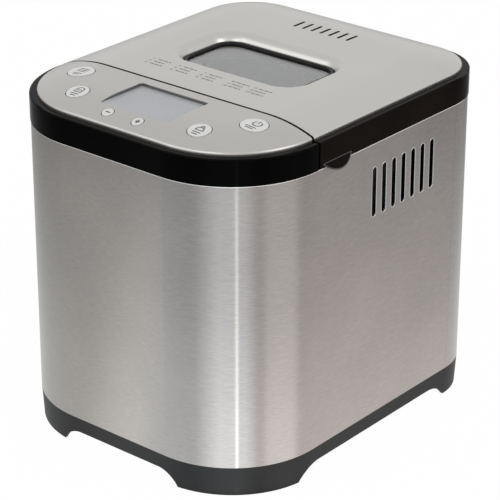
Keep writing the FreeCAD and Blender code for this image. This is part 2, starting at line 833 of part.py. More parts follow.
def crown_block(offset):
    """The whole crowned cover as a solid, its surface moved in by the offset."""
    section, flat, low, top = crown_section(offset)
    half_x, half_y = number("half_width"), number("half_depth")
    front, rear = number("front_corner"), number("rear_corner")
    upright = Vector(0, 0, 1)
    solids = []
    corners = ((1, -1, front, 90), (1, 1, rear, 180), (-1, 1, rear, 270), (-1, -1, front, 0))
    for side, end, radius, turn in corners:
        slice_room = Part.makeBox(radius, 2 * radius, 2 * top, Vector(0, -radius, 0))
        wedge = section.common(slice_room).Faces[0].copy()
        wedge.translate(Vector(-radius, 0, 0))
        wedge = wedge.revolve(Vector(), upright, 90)
        wedge.rotate(Vector(), upright, turn)
        wedge.translate(Vector(side * (half_x - radius), end * (half_y - radius), 0))
        solids.append(wedge)
    side_run = 2 * half_y - front - rear
    front_run, rear_run = 2 * (half_x - front), 2 * (half_x - rear)
    walls = [(side_run, 0, Vector(-half_x, front - half_y, 0)), (side_run, 180, Vector(half_x,
                                                                                       half_y - rear, 0))]
    walls += [(front_run, 90, Vector(half_x - front, -half_y, 0)), (rear_run, 270, Vector(rear - half_x,
                                                                                          half_y, 0))]
    for run, turn, start in walls:
        wall = section.extrude(Vector(0, run, 0))
        wall.rotate(Vector(), upright, turn)
        wall.translate(start)
        solids.append(wall)
    spare = [max(radius - flat, 0) for radius in (front, rear)]
    plateau = rounded_face(flat - half_x, half_x - flat, flat - half_y, half_y - flat, *spare)
    plateau.translate(Vector(0, 0, low))
    core = plateau.extrude(Vector(0, 0, top - low))
    return core.multiFuse(solids).removeSplitter()


def window_block(offset):
    """The crowned block with the window's hole, its upper edge rolled over."""
    grow = offset
    half_x, half_y = number("hole_width") / 2 + grow, number("hole_depth") / 2 + grow
    centre, corner = number("window_centre"), number("hole_corner") + grow
    top = number("crown_top") - offset
    hole = rounded_face(-half_x, half_x, centre - half_y, centre + half_y, corner, corner)
    block = crown_block(offset).cut(hole.extrude(Vector(0, 0, 2 * top)))
    slack = number("fit_gap")

    def on_rim(edge):
        bounds = edge.BoundBox
        level = bounds.ZMin > top - slack and bounds.ZMax < top + slack
        within_x = bounds.XMin > -half_x - slack and bounds.XMax < half_x + slack
        within_y = bounds.YMin > centre - half_y - slack and bounds.YMax < centre + half_y + slack
        return level and within_x and within_y

    rim = [edge for edge in block.Edges if on_rim(edge)]
    return block.makeFillet(number("window_roll") - offset, rim)


def kept_between(solid, front, rear):
    return common(solid, box("-body_width", "body_width", front, rear, "base_height", "2 * crown_top"))


def vent_slots(low, high):
    first = "-(vent_count - 1) / 2 * vent_pitch"
    count = int(number("vent_count"))
    return [stadium("vent_width / 2", "vent_length / 2", low, high, f"{first} + {index} * vent_pitch",
                    "vent_centre")
            for index in range(count)]


def lid_plate():
    sheet = window_block(0).cut(window_block(number("plate_sheet")))
    cover = kept_between(feature(sheet), "lid_front", "body_depth")
    piece("lid_plate", cut(cover, group(vent_slots("band_high", "2 * crown_top"))))


BUTTONS = {
    "menu_button": ("big_button", "-big_button_side", "-big_button_front"),
    "start_button": ("big_button", "big_button_side", "-big_button_front"),
    "colour_button": ("mid_button", "-mid_button_side", "-mid_button_front"),
    "size_button": ("mid_button", "mid_button_side", "-mid_button_front"),
    "minus_button": ("small_button", "small_button_shift - small_button_side", "-small_button_front"),
    "plus_button": ("small_button", "small_button_shift + small_button_side", "-small_button_front"),
}
BUTTON_PLACES = [(x, y) for _, x, y in BUTTONS.values()]


def panel_plate():
    sheet = crown_block(0).cut(crown_block(number("plate_sheet")))
    cover = kept_between(feature(sheet), "-body_depth", "panel_rear")
    holes = [rod(f"{radius} + button_gap", "band_high", "2 * crown_top", x, y) for radius, x,
             y in BUTTONS.values()]
    holes.append(centred_pad("display_width", "display_depth", "-display_front", "band_high",
                             "2 * crown_top",
                             "display_corner"))
    piece("panel_plate", cut(cover, group(holes)))


def buttons():
    room = feature(crown_block(-number("button_proud")))
    for label, (radius, x, y) in BUTTONS.items():
        cap = common(room, rod(radius, "cap_low", "2 * crown_top", x, y))
        flange = rod(f"{radius} + button_flange", "cap_low", "cap_low + button_flange", x, y)
        stem = rod("button_stem", "stem_low", "cap_low + button_flange", x, y)
        piece(label, fuse(cap, flange, stem))


# Black band: the fixed panel housing and the hinged lid frame
def band_block(low):
    """The band as a full solid, its upper edge rounded."""
    body = outline_pad("-band_proud", low, "band_high")
    doc.recompute()
    pad = body.Tip
    heights = [face.CenterOfMass.z for face in pad.Shape.Faces]
    rounding = body.newObject("PartDesign::Fillet", "Rounding")
    rounding.Base = (pad, [f"Face{heights.index(max(heights)) + 1}"])
    bind(rounding, Radius="band_round")
    body.Tip = rounding
    return body


BOARD_SCREWS = quad("board_boss_side", "-board_boss_front", "-board_boss_rear")
LINER_SCREWS = quad("boss_side", "-liner_boss_front", "liner_boss_rear")


def panel_housing():
    block = kept_between(band_block("shell_high"), "-body_depth", "panel_rear")
    room = kept_between(outline_pad("frame_wall - band_proud", "base_height", "tray_under"),
                        "-body_depth", "panel_rear - frame_wall")
    bosses = [rod("board_boss", "board_top", "tray_under + ledge_thick / 2", x, y) for x, y in BOARD_SCREWS]
    guides = drilled(BUTTON_PLACES, "tray_under - ledge_thick", "band_high + ledge_thick",
                     "button_stem + fit_gap")
    threads = drilled(BOARD_SCREWS, "board_low", "board_top + screw_grip + fit_gap")
    piece("panel_housing", cut(fuse(cut(block, room), *bosses), *guides, *threads))


def lift_tab():
    """A half-moon finger lip, flared out under the band on the right-hand side."""
    inner, outer = number("half_width + fit_gap"), number("half_width + band_proud")
    low, high = number("shell_high + seam_gap - tab_hang"), number("shell_high + seam_gap + tab_rise")
    flare, half, wall = number("tab_flare"), number("tab_half_length"), number("frame_wall") / 2
    middle = -number("tab_centre")
    sag = high - low
    radius = (half * half + sag * sag) / (2 * sag)

    def flared(inner_x, outer_low, outer_high, base, top):
        points = [Vector(inner_x, 0, base), Vector(outer_low, 0, base), Vector(outer_high, 0, top)]
        points += [Vector(inner_x, 0, top), Vector(inner_x, 0, base)]
        profile = Part.Face(Part.makePolygon(points))
        return profile.extrude(Vector(0, 4 * half, 0)).translated(Vector(0, middle - 2 * half, 0))

    def moon(size):
        axis_start = Vector(0, middle, low + radius)
        return Part.makeCylinder(size, 2 * inner, axis_start, Vector(1, 0, 0))

    lip = flared(inner, outer + flare, outer, low, high).common(moon(radius))
    hollow = flared(0, outer + flare - wall, outer - wall, low - wall,
                    high - wall).common(moon(radius - wall))
    return feature(lip.cut(hollow))


def lid_frame():
    low = "shell_high + seam_gap"
    block = kept_between(band_block(low), "lid_front", "body_depth")
    room = kept_between(outline_pad("frame_wall - band_proud", "base_height", "tray_under"),
                        "lid_front + frame_wall", "body_depth")
    opening = kept_between(outline_pad("ledge_width", "tray_under - ledge_thick",
                                       "band_high + ledge_thick"),
                           "lid_front + ledge_width", "body_depth")
    notches, knuckles, bores = [], [], []
    for side in hinge_sides():
        notches.append(box(f"{side} - knuckle_start", f"{side} + knuckle_start", "half_depth - ear_root",
                           "hinge_y", "base_height", "hinge_z + hinge_radius + knuckle_gap"))
        for start in (f"{side} + knuckle_start", f"{side} - knuckle_start - knuckle_width"):
            end = f"{start} + knuckle_width"
            knuckles.append(rod("hinge_radius", start, end, y="hinge_y", z="hinge_z", along="x"))
            knuckles.append(box(start, end, "half_depth + band_proud - frame_wall", "hinge_y",
                                "hinge_z - hinge_radius", "hinge_z + hinge_radius"))
        bores.append(rod("hinge_pin + drill_gap", f"{side} - hinge_side / 2", f"{side} + hinge_side / 2",
                         y="hinge_y", z="hinge_z", along="x"))
    seat = "liner_low + liner_sheet"
    bosses = [rod("liner_boss", seat, "tray_under + ledge_thick / 2", x, y) for x, y in LINER_SCREWS]
    threads = drilled(LINER_SCREWS, "liner_low", f"{seat} + screw_grip + fit_gap")
    frame = fuse(cut(block, room, opening, *notches), *knuckles, *bosses, lift_tab())
    piece("lid_frame", cut(frame, *bores, *threads))


# Lid liner, seal and window
def lid_liner():
    edge = "frame_wall + 2 * fit_gap"
    flange = kept_between(outline_pad(edge, "liner_low", "liner_low + liner_sheet"),
                          f"lid_front + {edge}", "body_depth")
    width, depth = "chamber_width + 2 * liner_margin", "chamber_depth + 2 * liner_margin"
    corner = "chamber_corner + liner_margin"
    dish = centred_pad(width, depth, "chamber_centre", "liner_low", "liner_top", corner)
    room = centred_pad(f"{width} - 2 * liner_sheet", f"{depth} - 2 * liner_sheet", "chamber_centre",
                       "shell_high", "liner_top - liner_sheet", f"{corner} - liner_sheet")
    tools = [room, window_opening("liner_low", "band_high"), *vent_slots("liner_low", "band_high")]
    tools += drilled(LINER_SCREWS, "shell_high", "liner_top")
    for side in hinge_sides():
        tools.append(box(f"{side} - knuckle_start", f"{side} + knuckle_start",
                         "half_depth - ear_root - hinge_out",
                         "hinge_y", "shell_high", "liner_top"))
    piece("lid_liner", cut(fuse(flange, dish), *tools))
    piece("liner_screws", screws(LINER_SCREWS, "liner_low", "screw_grip", up=True))


def window_opening(low, high, grow="0"):
    return centred_pad(f"hole_width - 2 * window_ring + 2 * ({grow})",
                       f"hole_depth - 2 * window_ring + 2 * ({grow})",
                       "window_centre", low, high, f"hole_corner - window_ring + ({grow})")


def lid_seal():
    width, depth = "chamber_width + 2 * liner_margin", "chamber_depth + 2 * liner_margin"
    corner = "chamber_corner + liner_margin"
    outer = centred_pad(f"{width} + 2 * seal_width", f"{depth} + 2 * seal_width", "chamber_centre",
                        "shell_high + fit_gap", "liner_low", f"{corner} + seal_width")
    inner = centred_pad(width, depth, "chamber_centre", "base_height", "liner_top", corner)
    piece("lid_seal", cut(outer, inner))


def window():
    flange = centred_pad("hole_width + 2 * window_flange", "hole_depth + 2 * window_flange",
                         "window_centre",
                         "liner_top", "band_high", "hole_corner + window_flange")
    collar = centred_pad("hole_width - 2 * fit_gap", "hole_depth - 2 * fit_gap", "window_centre",
                         "liner_top", "crown_top - collar_depth", "hole_corner - fit_gap")
    groove = window_opening("glass_low", "glass_top", "glass_land")
    piece("window_gasket", cut(fuse(flange, collar), window_opening("base_height", "crown_top"), groove))
    piece("window_glass", window_opening("glass_low", "glass_top", "glass_land - fit_gap"))


# Display and control electronics
def display():
    centre = "-display_front"
    outer = centred_pad("display_width + 2 * display_rim", "display_depth + 2 * display_rim", centre,
                        "band_high", "crown_top", "display_corner + display_rim")
    inner = centred_pad("display_width", "display_depth", centre, "base_height", "crown_top",
                        "display_corner")
    under_plate = feature(crown_block(number("plate_sheet + fit_gap")))
    piece("display_frame", cut(common(outer, under_plate), inner))
    inside = ("display_width - 2 * fit_gap", "display_depth - 2 * fit_gap", centre)
    seat = "band_high + module_thick"
    piece("display_module", centred_pad(*inside, "band_high", seat, "display_corner - fit_gap"))
    piece("display_lens", centred_pad(*inside, seat, f"{seat} + lens_thick", "display_corner - fit_gap"))


def control_board():
    board = kept_between(outline_pad("board_inset", "board_low", "board_top"), "-body_depth",
                         "panel_rear - board_rear_gap")
    piece("control_board", cut(board, *drilled(BOARD_SCREWS, "shell_high", "tray_under")))
    half = "switch_side / 2"
    piece("tact_switches", group([box(f"{x} - {half}", f"{x} + {half}", f"{y} - {half}", f"{y} + {half}",
                                      "board_top", "switch_top") for x, y in BUTTON_PLACES]))
    piece("board_screws", screws(BOARD_SCREWS, "board_low", "board_thick + screw_grip", up=True))


# Oven chamber, heater and probe
def oven_chamber():
    outside = centred_pad("chamber_width + 2 * chamber_wall", "chamber_depth + 2 * chamber_wall",
                          "chamber_centre",
                          "chamber_low", "deck_under", "chamber_corner + chamber_wall")
    inside = centred_pad("chamber_width", "chamber_depth", "chamber_centre", "chamber_floor", "shell_high",
                         "chamber_corner")
    flange = centred_pad("chamber_width + 2 * chamber_flange", "chamber_depth + 2 * chamber_flange",
                         "chamber_centre", "deck_under - chamber_wall", "deck_under",
                         "chamber_corner + chamber_flange")
    tools = [inside, rod("shaft_port", "floor_top", "pan_low", y="chamber_centre")]
    tools += drilled(CHAMBER_SCREWS, "deck_under - deck_thick", "shell_high")
    for side in ("-heater_leg", "heater_leg"):
        tools.append(rod("heater_bush + drill_gap", "chamber_rear - heater_bush",
                         "chamber_rear + heater_bush",
                         x=side, z="heater_height", along="y"))
    tools.append(rod("probe_radius + drill_gap", "chamber_front - probe_head", "chamber_front + probe_head",
                     x="probe_side", z="probe_height", along="y"))
    piece("oven_chamber", cut(fuse(outside, flange), *tools))
    piece("chamber_screws", screws(CHAMBER_SCREWS, "deck_under - chamber_wall", "chamber_wall + deck_bite",
                                   up=True))


def bent_tube(points, bends, radius):
    """A round tube along straight runs joined by tangent arcs."""
    edges = []
    start = points[0]
    for before, corner, after, bend in zip(points, points[1:], points[2:], bends):
        back, onward = (before - corner).normalize(), (after - corner).normalize()
        half_turn = back.getAngle(onward) / 2
        setback = bend / math.tan(half_turn)
        hub = corner + (back + onward).normalize() * (bend / math.sin(half_turn))
        arc_start, arc_end = corner + back * setback, corner + onward * setback
        middle = hub + (corner - hub).normalize() * bend
        edges += [Part.LineSegment(start, arc_start).toShape(), Part.Arc(arc_start, middle,
                                                                         arc_end).toShape()]
        start = arc_end
    edges.append(Part.LineSegment(start, points[-1]).toShape())
    heading = (points[1] - points[0]).normalize()
    section = Part.Wire(Part.makeCircle(radius, points[0], heading))
    return Part.Wire(edges).makePipeShell([section], True, False)


def heating_element():
    half_x, half_y, height = number("heater_half_x"), number("heater_half_y"), number("heater_height")
    centre, leg = number("chamber_centre"), number("heater_leg")
    back, front = centre + half_y, centre - half_y
    tail = number("chamber_rear + chamber_wall + heater_tail")
    left = [(-leg, tail), (-leg, back), (-half_x, back), (-half_x, front)]
    route = left + [(-x, y) for x, y in reversed(left)]
    points = [Vector(x, y, height) for x, y in route]
    bend, leg_bend = number("heater_bend"), number("heater_leg_bend")
    bends = [leg_bend, bend, bend, bend, bend, leg_bend]
    piece("heating_element", feature(bent_tube(points, bends, number("heater_tube"))))
    bushes = []
    start, end = "chamber_rear - heater_bush_lip", "chamber_rear + chamber_wall + heater_bush_reach"
    for side in ("-heater_leg", "heater_leg"):
        body = rod("heater_bush", start, end, x=side, z="heater_height", along="y")
        bore = rod("heater_tube + run_gap", f"{start} - heater_bush", f"{end} + heater_bush", x=side,
                   z="heater_height", along="y")
        bushes.append(cut(body, bore))
    piece("heater_bushes", group(bushes))
    half = "support_width / 2"
    stands = []
    for x, y in (("-heater_half_x", "chamber_centre"), ("heater_half_x", "chamber_centre"),
                 ("-heater_leg", "chamber_centre - heater_half_y"), ("heater_leg",
                                                                     "chamber_centre - heater_half_y")):
        stands.append(box(f"{x} - {half}", f"{x} + {half}", f"{y} - {half}", f"{y} + {half}",
                          "chamber_floor",
                          "heater_height - heater_tube - run_gap"))
    piece("heater_supports", group(stands))


def temperature_probe():
    outside = "chamber_front - chamber_wall"
    stem = rod("probe_radius", f"{outside} - probe_head_length", "chamber_front + probe_reach",
               x="probe_side",
               z="probe_height", along="y")
    head = rod("probe_head", f"{outside} - probe_head_length", outside, x="probe_side", z="probe_height",
               along="y")
    piece("temperature_probe", fuse(stem, head))


def pan_socket():
    bore = "foot_ring_radius + fit_gap"
    piece("pan_socket", ring(f"{bore} + socket_wall", bore, "chamber_floor",
                             "chamber_floor + socket_height",
                             y="chamber_centre"))


# Bread pan, bail handle and paddle
def bread_pan():
    outside = centred_pad("pan_width", "pan_depth", "chamber_centre", "pan_low", "pan_top", "pan_corner")
    inside = centred_pad("pan_width - 2 * pan_wall", "pan_depth - 2 * pan_wall", "chamber_centre",
                         "pan_floor",
                         "shell_high", "pan_corner - pan_wall")
    rim = centred_pad("pan_width + 2 * pan_rim", "pan_depth + 2 * pan_rim", "chamber_centre",
                      "pan_top - pan_wall",
                      "pan_top", "pan_corner + pan_rim")
    skirt = ring("foot_ring_radius", "foot_ring_radius - foot_ring_wall", "chamber_floor + pan_seat_gap",
                 "pan_low + pan_wall / 2", y="chamber_centre")
    ears, pins = [], []
    ear_end = "handle_arm - handle_wire - fit_gap"
    for start, end, hole_start, hole_end in (
            ("pan_width / 2 - pan_wall / 2", ear_end, "pan_width / 2", "handle_arm"),
            (f"-({ear_end})", "-(pan_width / 2 - pan_wall / 2)", "-handle_arm", "-pan_width / 2")):
        ears.append(rod("ear_radius", start, end, y="chamber_centre", z="handle_pivot", along="x"))
        pins.append(rod("handle_wire + run_gap", hole_start, hole_end, y="chamber_centre", z="handle_pivot",
                        along="x"))
    port = rod("pan_bearing_radius + drill_gap", "chamber_floor", "pan_top", y="chamber_centre")
    piece("bread_pan", cut(fuse(outside, rim, skirt, *ears), inside, port, *pins))


def ball(radius, x, y, z):
    solid = doc.addObject("Part::Sphere", "Ball")
    bind(solid, Radius=radius)
    return put(solid, x, y, z)


def pan_handle():
    arm, height = number("handle_arm"), number("handle_pivot")
    pivot, reach, bend = number("chamber_centre"), number("handle_reach"), number("handle_bend")
    points = [Vector(-arm, pivot, height), Vector(-arm, pivot - reach, height)]
    points += [Vector(arm, pivot - reach, height), Vector(arm, pivot, height)]
    bail = feature(bent_tube(points, [bend, bend], number("handle_wire")))
    ends = []
    for start, end, arm_side in (("pan_width / 2 + fit_gap", "handle_arm", "handle_arm"),
                                 ("-handle_arm", "-pan_width / 2 - fit_gap", "-handle_arm")):
        ends.append(rod("handle_wire", start, end, y="chamber_centre", z="handle_pivot", along="x"))
        ends.append(ball("handle_wire", arm_side, "chamber_centre", "handle_pivot"))
    piece("pan_handle", fuse(bail, *ends))
    half = "handle_grip_length / 2"
    bar = "chamber_centre - handle_reach"
    grip = rod("handle_grip_radius", f"-{half}", half, y=bar, z="handle_pivot", along="x")
    bore = rod("handle_wire + drill_gap", "-handle_grip_length", "handle_grip_length", y=bar,
               z="handle_pivot",
               along="x")
    piece("handle_grip", cut(grip, bore))


def pan_drive():
    bore = "shaft_radius + run_gap"
    collar = "pan_bearing_radius + bearing_collar"
    under, over = "pan_low - bearing_drop", "pan_floor + paddle_lift / 2"
    piece("pan_bearing", turned([(bore, under), (collar, under), (collar, "pan_low"),
                                 ("pan_bearing_radius", "pan_low"), ("pan_bearing_radius", over), (bore,
                                                                                                   over)],
                                y="chamber_centre"))
    wing_low = "coupler_top + coupler_gap"
    wing_top = f"{wing_low} + wing_thick"
    paddle_low = "pan_floor + paddle_lift"
    paddle_top = f"{paddle_low} + paddle_height"
    shaft_end = f"{paddle_top} - paddle_cap"
    piece("pan_shaft", rod("shaft_radius", wing_low, f"{shaft_end} - run_gap", y="chamber_centre"))
    reach = "coupler_radius - coupler_gap"
    wings = box(f"-({reach})", reach, "chamber_centre - wing_width / 2", "chamber_centre + wing_width / 2",
                wing_low,
                wing_top)
    hub = rod("coupler_hub", wing_low, wing_top, y="chamber_centre")
    shaft_hole = rod("shaft_radius + drill_gap", "chamber_low", "pan_top", y="chamber_centre")
    piece("pan_coupler", cut(fuse(wings, hub), shaft_hole))
    half = "paddle_blade / 2"
    blade = box("0", "paddle_hub + paddle_span", f"chamber_centre - {half}", f"chamber_centre + {half}",
                paddle_low,
                f"{paddle_top} - paddle_cap")
    tip = rod(half, paddle_low, f"{paddle_top} - paddle_cap", x="paddle_hub + paddle_span",
              y="chamber_centre")
    barrel = rod("paddle_hub", paddle_low, paddle_top, y="chamber_centre")
    socket = rod("shaft_radius + drill_gap", "pan_low", shaft_end, y="chamber_centre")
    piece("kneading_paddle", cut(fuse(blade, tip, barrel), socket))


# Drive line under the chamber
MOTOR_ANGLES = (90, 210, 330)


def motor_screw_places():
    """Three places evenly round the motor's axis."""
    return [(f"motor_screw_ring * cos({angle})", f"motor_screw_ring * sin({angle}) - motor_front")
            for angle in MOTOR_ANGLES]


def drive_bracket():
    plate = rounded_pad("-bracket_half_width", "bracket_half_width", "bracket_front", "bracket_rear",
                        "bracket_low",
                        "bracket_top", "bracket_margin")
    holes = drilled(POST_PLACES + motor_screw_places(), "belt_high", "chamber_low")
    holes.append(rod("motor_shaft_radius + bracket_gap", "belt_high", "chamber_low", y="-motor_front"))
    holes.append(rod("shaft_radius + bush_wall", "belt_high", "chamber_low", y="chamber_centre"))
    piece("drive_bracket", cut(plate, *holes))
    piece("bracket_screws", screws(POST_PLACES, "bracket_top", "bracket_thick + screw_grip - fit_gap",
                                   up=False))
    piece("motor_screws", screws(motor_screw_places(), "bracket_low",
                                 "bracket_thick + motor_plate - bush_wall",
                                 up=True))


def drive_line():
    bush = "shaft_radius + bush_wall"
    piece("bearing_housing", ring("housing_radius", f"{bush} + drill_gap", "bracket_top", "chamber_low",
                                  y="chamber_centre"))
    lower = ring(bush, "shaft_radius + run_gap", "bracket_top", "bracket_top + bush_length",
                 y="chamber_centre")
    upper = ring(bush, "shaft_radius + run_gap", "chamber_low - bush_length", "chamber_low",
                 y="chamber_centre")
    piece("shaft_bushes", group([lower, upper]))
    piece("drive_shaft", rod("shaft_radius", "belt_low - coupler_lift", "coupler_top", y="chamber_centre"))
    disc = rod("coupler_radius", "coupler_low", "coupler_top", y="chamber_centre")
    lugs = []
    for near, far in (("lug_inner", "coupler_radius - coupler_gap"), ("-(coupler_radius - coupler_gap)",
                                                                      "-lug_inner")):
        lugs.append(box("-lug_width / 2", "lug_width / 2", f"chamber_centre + {near}",
                        f"chamber_centre + {far}",
                        "coupler_low", "coupler_top + lug_height"))
    bore = rod("shaft_radius + drill_gap", "belt_low", "pan_low", y="chamber_centre")
    piece("drive_coupler", cut(fuse(disc, *lugs), bore))


def pulley_profile(bore, radius):
    flange = f"{radius} + pulley_flange"
    low, high = "belt_low + pulley_lip", "belt_high - pulley_lip"
    return ([(flange, "belt_low"), (flange, low), (radius, low), (radius, high), (flange, high),
             (flange, "belt_high")], [(bore, "belt_high"), (bore, "belt_low")])


def pulleys():
    rim, hub_wall = pulley_profile("shaft_radius + drill_gap", "pulley_radius")
    inner = "pulley_radius - pulley_rim"
    middle = "belt_low + pulley_width / 2"
    web_low, web_high = f"{middle} - pulley_web / 2", f"{middle} + pulley_web / 2"
    upper = [(inner, "belt_high"), (inner, web_high), ("pulley_hub", web_high), ("pulley_hub", "belt_high")]
    lower = [("pulley_hub", "belt_low"), ("pulley_hub", web_low), (inner, web_low), (inner, "belt_low")]
    piece("drive_pulley", turned(rim + upper + hub_wall + lower, y="chamber_centre"))
    rim, hub_wall = pulley_profile("motor_shaft_radius + drill_gap", "motor_pulley_radius")
    piece("motor_pulley", turned(rim + hub_wall, y="-motor_front"))


def drive_belt():
    """An open belt round the two pulleys, standing just clear of both."""
    gap, thick = number("fit_gap"), number("belt_thick")
    big, small = number("pulley_radius") + gap, number("motor_pulley_radius") + gap
    big_hub, small_hub = Vector(0, number("chamber_centre"), 0), Vector(0, -number("motor_front"), 0)
    lean = math.asin((big - small) / (big_hub - small_hub).Length)

    def loop(grow):
        right = Vector(math.cos(lean), -math.sin(lean), 0)
        left = Vector(-right.x, right.y, 0)
        ends = [hub + side * (size + grow) for hub, size in ((big_hub, big), (small_hub, small))
                for side in (right, left)]
        crest = big_hub + Vector(0, big + grow, 0)
        trough = small_hub - Vector(0, small + grow, 0)
        edges = [Part.Arc(ends[0], crest, ends[1]).toShape(), Part.LineSegment(ends[1], ends[3]).toShape()]
        edges += [Part.Arc(ends[3], trough, ends[2]).toShape(), Part.LineSegment(ends[2],
                                                                                 ends[0]).toShape()]
        return Part.Face(Part.Wire(edges))

    low, high = number("belt_low + pulley_lip + fit_gap"), number("belt_high - pulley_lip - fit_gap")
    band = loop(thick).cut(loop(0)).Faces[0]
    band.translate(Vector(0, 0, low))
    piece("drive_belt", feature(band.extrude(Vector(0, 0, high - low))))


def motor():
    bore = "motor_shaft_radius + run_gap"
    top = "bracket_top + motor_height"
    room_low, room_high = "bracket_top + motor_plate", f"{top} - motor_plate"
    inner = "motor_radius - motor_wall"
    case = turned([(bore, "bracket_top"), ("motor_radius", "bracket_top"), ("motor_radius", top), (bore,
                                                                                                   top),
                   (bore, room_high), (inner, room_high), (inner, room_low), (bore,
                                                                              room_low)], y="-motor_front")
    piece("motor_case", cut(case, *drilled(motor_screw_places(), "belt_high",
                                           "bracket_top + motor_plate - fit_gap")))
    middle = "bracket_top + motor_height / 2"
    low, high = f"{middle} - rotor_height / 2", f"{middle} + rotor_height / 2"
    piece("motor_stator", ring(f"{inner} - fit_gap / 2", "rotor_radius + rotor_gap", low, high,
                               y="-motor_front"))
    shaft = "motor_shaft_radius"
    piece("motor_rotor", turned([("0", "belt_low - coupler_lift"), (shaft, "belt_low - coupler_lift"),
                                 (shaft, low),
                                 ("rotor_radius", low), ("rotor_radius", high), (shaft, high), (shaft,
                                                                                                top), ("0",
                                                                                                       top)],
                                y="-motor_front"))
    piece("motor_capacitor", rod("capacitor_radius", "floor_top", "floor_top + capacitor_height",
                                 "-capacitor_side", "-capacitor_front"))


def power_board():
    left, right = "power_board_side - power_board_width / 2", "power_board_side + power_board_width / 2"
    front, rear = "-power_board_front - power_board_depth / 2", "-power_board_front + power_board_depth / 2"
    board = box(left, right, front, rear, "power_board_low", "power_board_top")
    piece("power_board", board)
    margin = "power_post_inset"
    piece("transformer", box(f"{left} + {margin}", f"{left} + {margin} + transformer_width",
                             f"{front} + {margin}",
                             f"{front} + {margin} + transformer_depth", "power_board_top",
                             "power_board_top + transformer_height"))
    piece("relay", box(f"{left} + {margin}", f"{left} + {margin} + relay_width",
                       f"{rear} - {margin} - relay_depth",
                       f"{rear} - {margin}", "power_board_top", "power_board_top + relay_height"))


def build():
    for make in (base_tray, body_shell, cord_gland, top_deck, hinge_pins, lid_plate, panel_plate,
                 buttons, panel_housing, lid_frame, lid_liner, lid_seal, window, display,
                 control_board, oven_chamber, heating_element, temperature_probe, pan_socket,
                 bread_pan, pan_handle, pan_drive, drive_bracket, drive_line, pulleys, drive_belt,
                 motor, power_board):
        make()
    doc.recompute()


def check():
    """Stop before anything is written if an object failed or a sub-part is empty or broken."""
    failed = [item.Label for item in doc.Objects if "Invalid" in item.State or "Error" in item.State]
    if failed:
        raise RuntimeError(f"objects failed: {failed}")
    broken = [item.Label for item in PIECES if item.Shape.isNull() or not item.Shape.isValid()]
    if broken:
        raise RuntimeError(f"sub-parts empty or not valid: {broken}")


def write():
    os.makedirs("parts", exist_ok=True)
    for item in PIECES:
        item.Shape.exportStep(f"parts/{item.Label}.step")
        print(f"{item.Label}: {len(item.Shape.Solids)} solids, {item.Shape.Volume:.0f} cubic mm")


build()
check()
write()
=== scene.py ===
import json
import math

import bpy
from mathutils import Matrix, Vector
from mathutils.bvhtree import BVHTree

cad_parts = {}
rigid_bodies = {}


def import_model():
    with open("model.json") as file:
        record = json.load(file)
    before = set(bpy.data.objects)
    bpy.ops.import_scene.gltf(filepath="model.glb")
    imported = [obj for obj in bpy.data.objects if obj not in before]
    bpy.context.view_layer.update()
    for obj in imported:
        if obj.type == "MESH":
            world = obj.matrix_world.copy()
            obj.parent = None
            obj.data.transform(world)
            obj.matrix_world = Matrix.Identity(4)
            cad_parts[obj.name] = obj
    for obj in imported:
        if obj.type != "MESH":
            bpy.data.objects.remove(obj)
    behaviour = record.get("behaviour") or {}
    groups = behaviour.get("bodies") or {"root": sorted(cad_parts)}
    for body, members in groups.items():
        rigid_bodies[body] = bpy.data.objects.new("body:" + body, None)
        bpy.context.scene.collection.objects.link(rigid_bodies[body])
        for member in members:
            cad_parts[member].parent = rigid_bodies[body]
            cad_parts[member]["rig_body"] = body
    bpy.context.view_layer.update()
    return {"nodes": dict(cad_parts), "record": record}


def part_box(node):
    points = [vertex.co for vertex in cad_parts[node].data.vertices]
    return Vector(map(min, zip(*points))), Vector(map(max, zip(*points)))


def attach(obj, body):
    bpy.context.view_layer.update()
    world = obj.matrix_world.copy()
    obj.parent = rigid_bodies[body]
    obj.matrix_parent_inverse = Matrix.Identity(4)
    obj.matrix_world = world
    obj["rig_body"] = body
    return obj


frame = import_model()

MM = 0.001

# Camera, fitted to the photograph's body edges
VIEW_AZIMUTH = 40.0
VIEW_ELEVATION = 24.5
VIEW_DISTANCE = 1.8288
VIEW_TARGET = Vector((0, 0, 0.1426))
LENS = 162.94
SENSOR = 36.0
FRAME_SHIFT = (0.0108, -0.0262)

# Studio
FLOOR_SIZE = 16.0
FLOOR_DROP = 0.2 * MM
FLOOR_WHITE = 0.985
FLOOR_PAINT = (0.86, 0.86, 0.86, 1)
WHITE = (1, 1, 1, 1)
WORLD_LEVEL = 0.62
LAMP_SIZE = 1.2
LAMPS = {
    "key_lamp": (Vector((0.3, -1.9, 1.9)), 8.0),
    "left_lamp": (Vector((-1.2, -1.5, 1.9)), 6.0),
    "fill_lamp": (Vector((1.7, 0.3, 1.6)), 9.0),
}

# Mirrored light on the floor: full up to the near distance, down to a share at the far one
DIM_NEAR = 0.25
DIM_FAR = 0.85
DIM_SHARE = 0.36


def new_tree(name):
    material = bpy.data.materials.new(name)
    material.use_nodes = True
    material.node_tree.nodes.clear()
    return material, material.node_tree


def add(tree, kind, **inputs):
    """A shader node with its constant inputs set by socket name."""
    node = tree.nodes.new(kind)
    for socket, value in inputs.items():
        node.inputs[socket.replace("_", " ")].default_value = value
    return node


def effect_group(name, inputs, outputs):
    """An empty node group with its sockets."""
    group = bpy.data.node_groups.new(name, "ShaderNodeTree")
    for label, kind, value in inputs:
        socket = group.interface.new_socket(label, in_out="INPUT", socket_type=kind)
        socket.default_value = value
    for label, kind in outputs:
        group.interface.new_socket(label, in_out="OUTPUT", socket_type=kind)
    return group, group.nodes.new("NodeGroupInput"), group.nodes.new("NodeGroupOutput")


